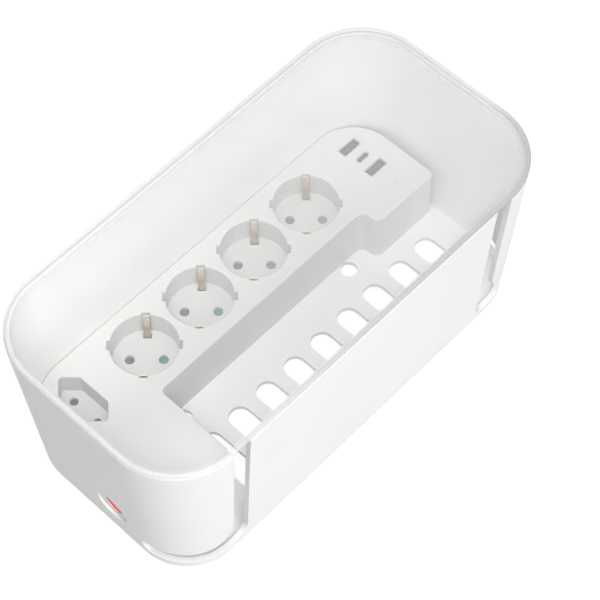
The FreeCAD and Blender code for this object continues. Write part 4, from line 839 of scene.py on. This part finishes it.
def make_floor():
    """White card: it goes to white for the eye, and still takes the box's soft shadow."""
    shape = bmesh.new()
    bmesh.ops.create_grid(shape, x_segments=1, y_segments=1, size=FLOOR_SIZE)
    mesh = bpy.data.meshes.new("floor")
    shape.to_mesh(mesh)
    shape.free()
    floor = bpy.data.objects.new("floor", mesh)
    bpy.context.scene.collection.objects.link(floor)
    material, tree, shader, place = start_finish("white_card", {"Roughness": 0.9, "Specular IOR Level": 0})
    fibre = mottle(tree, place, 3 * MM)
    feed(tree, shader, clouded(tree, fibre, "9E9E9E", "A2A2A2"))
    lift = add(tree, "Emission", values={"Color": WHITE},
               links={"Strength": count(tree, "MULTIPLY", share_seen(tree), FLOOR_LIFT)})
    joined = add(tree, "AddShader", links={0: shader.outputs[0], 1: lift.outputs[0]})
    tree.links.new(joined.outputs[0], tree.nodes["Material Output"].inputs["Surface"])
    mesh.materials.append(material)


def set_world():
    """Even pale light from all round, and a white sky where the eye or a reflection looks past the floor."""
    world = bpy.data.worlds.new("studio")
    world.use_nodes = True
    tree = world.node_tree
    strength = count(tree, "ADD", count(tree, "MULTIPLY", share_seen(tree), 1 - AMBIENT), AMBIENT)
    background = tree.nodes["Background"]
    background.inputs["Color"].default_value = WHITE
    tree.links.new(strength, background.inputs["Strength"])
    bpy.context.scene.world = world


def add_softbox(name, place, side, power):
    """A large square lamp aimed at the box."""
    data = bpy.data.lights.new(name, "AREA")
    data.shape = "SQUARE"
    data.size = side
    data.energy = power
    lamp = bpy.data.objects.new(name, data)
    lamp.location = place
    lamp.rotation_euler = (Vector(STUDIO_AIM) - Vector(place)).to_track_quat("-Z", "Y").to_euler()
    bpy.context.scene.collection.objects.link(lamp)


def light_studio():
    """Large lamps on the near side and above, weaker ones on the far and right sides to open the shadows."""
    for name, (place, side, power) in SOFTBOXES.items():
        add_softbox(name, place, side, power)


# Dressing

def dress(finish, *nodes):
    """Gives CAD nodes their finish in every slot that they have."""
    for name in nodes:
        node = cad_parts[name]
        if not node.material_slots:
            node.data.materials.append(finish)
        for place in node.material_slots:
            place.material = finish


def dress_box():
    """A finish for every node, then the fittings on them."""
    shell = satin_abs_shell()
    cover = spark_eroded_abs()
    nylon = moulded_white_nylon()
    black = moulded_black_nylon()
    zinc = zinc_plated_steel()
    tin = reflowed_tin()
    chip = epoxy_chip()
    dress(shell, "tub", "switch_housing")
    dress(cover, "socket_cover")
    dress(nylon, "contact_tray", "terminal_block")
    dress(clear_polycarbonate_sheet(), "lid")
    dress(red_clear_polycarbonate(), "switch_rocker")
    dress(moulded_rubber(), "rubber_feet")
    dress(rolled_brass_bar(), "live_bar", "neutral_bar", "earth_bar", "switch_terminals")
    dress(rolled_nickel_brass(), *["earth_clip_%d" % number for number in range(1, 5)])
    dress(drawn_nickel_steel(), "switch_pivot", *["usb_port_%d" % number for number in range(1, 4)])
    dress(zinc, "cover_screws", "board_screws")
    dress(black, "mains_gland", "gland_nut", "usb_tongues")
    dress(etched_circuit_board(), "power_board")
    dress(taped_ferrite_core(), "transformer")
    dress(chip, "board_chips")
    dress(extruded_pvc("brown_pvc", "6A3D22", "55301B"), "live_lead", "switched_lead")
    dress(extruded_pvc("blue_pvc", "2C62B4", "22509C"), "neutral_lead", "board_leads")
    dress(striped_earth_pvc(), "earth_lead")
    dress(glowing_lamp_glass(), "switch_lamp")
    for number in range(1, 5):
        socket = middle("earth_clip_%d" % number) * MM
        finish = moulded_acetal_shutter("acetal_shutter_%d" % number, socket.x, socket.y, SOCKET_TURN)
        dress(finish, "shutter_%d" % number)
    euro = Vector((middle("euro_shutter").x, EURO_Y)) * MM
    dress(moulded_acetal_shutter("acetal_euro_shutter", euro.x, euro.y, EURO_TURN), "euro_shutter")

    make_port_contacts(gold_flashed_contact())
    make_capacitors(sleeved_capacitor_can())
    make_block_screws(zinc)
    make_chip_legs(tin)
    make_small_parts(chip, tin)
    make_solder_joints(tin)
    make_port_numbers(pad_printed_ink())
    make_gland_ring(black)
    make_shutter_springs(drawn_spring_wire())


set_camera()
dress_box()
make_floor()
set_world()
light_studio()
bpy.context.scene.view_settings.view_transform = "Standard"
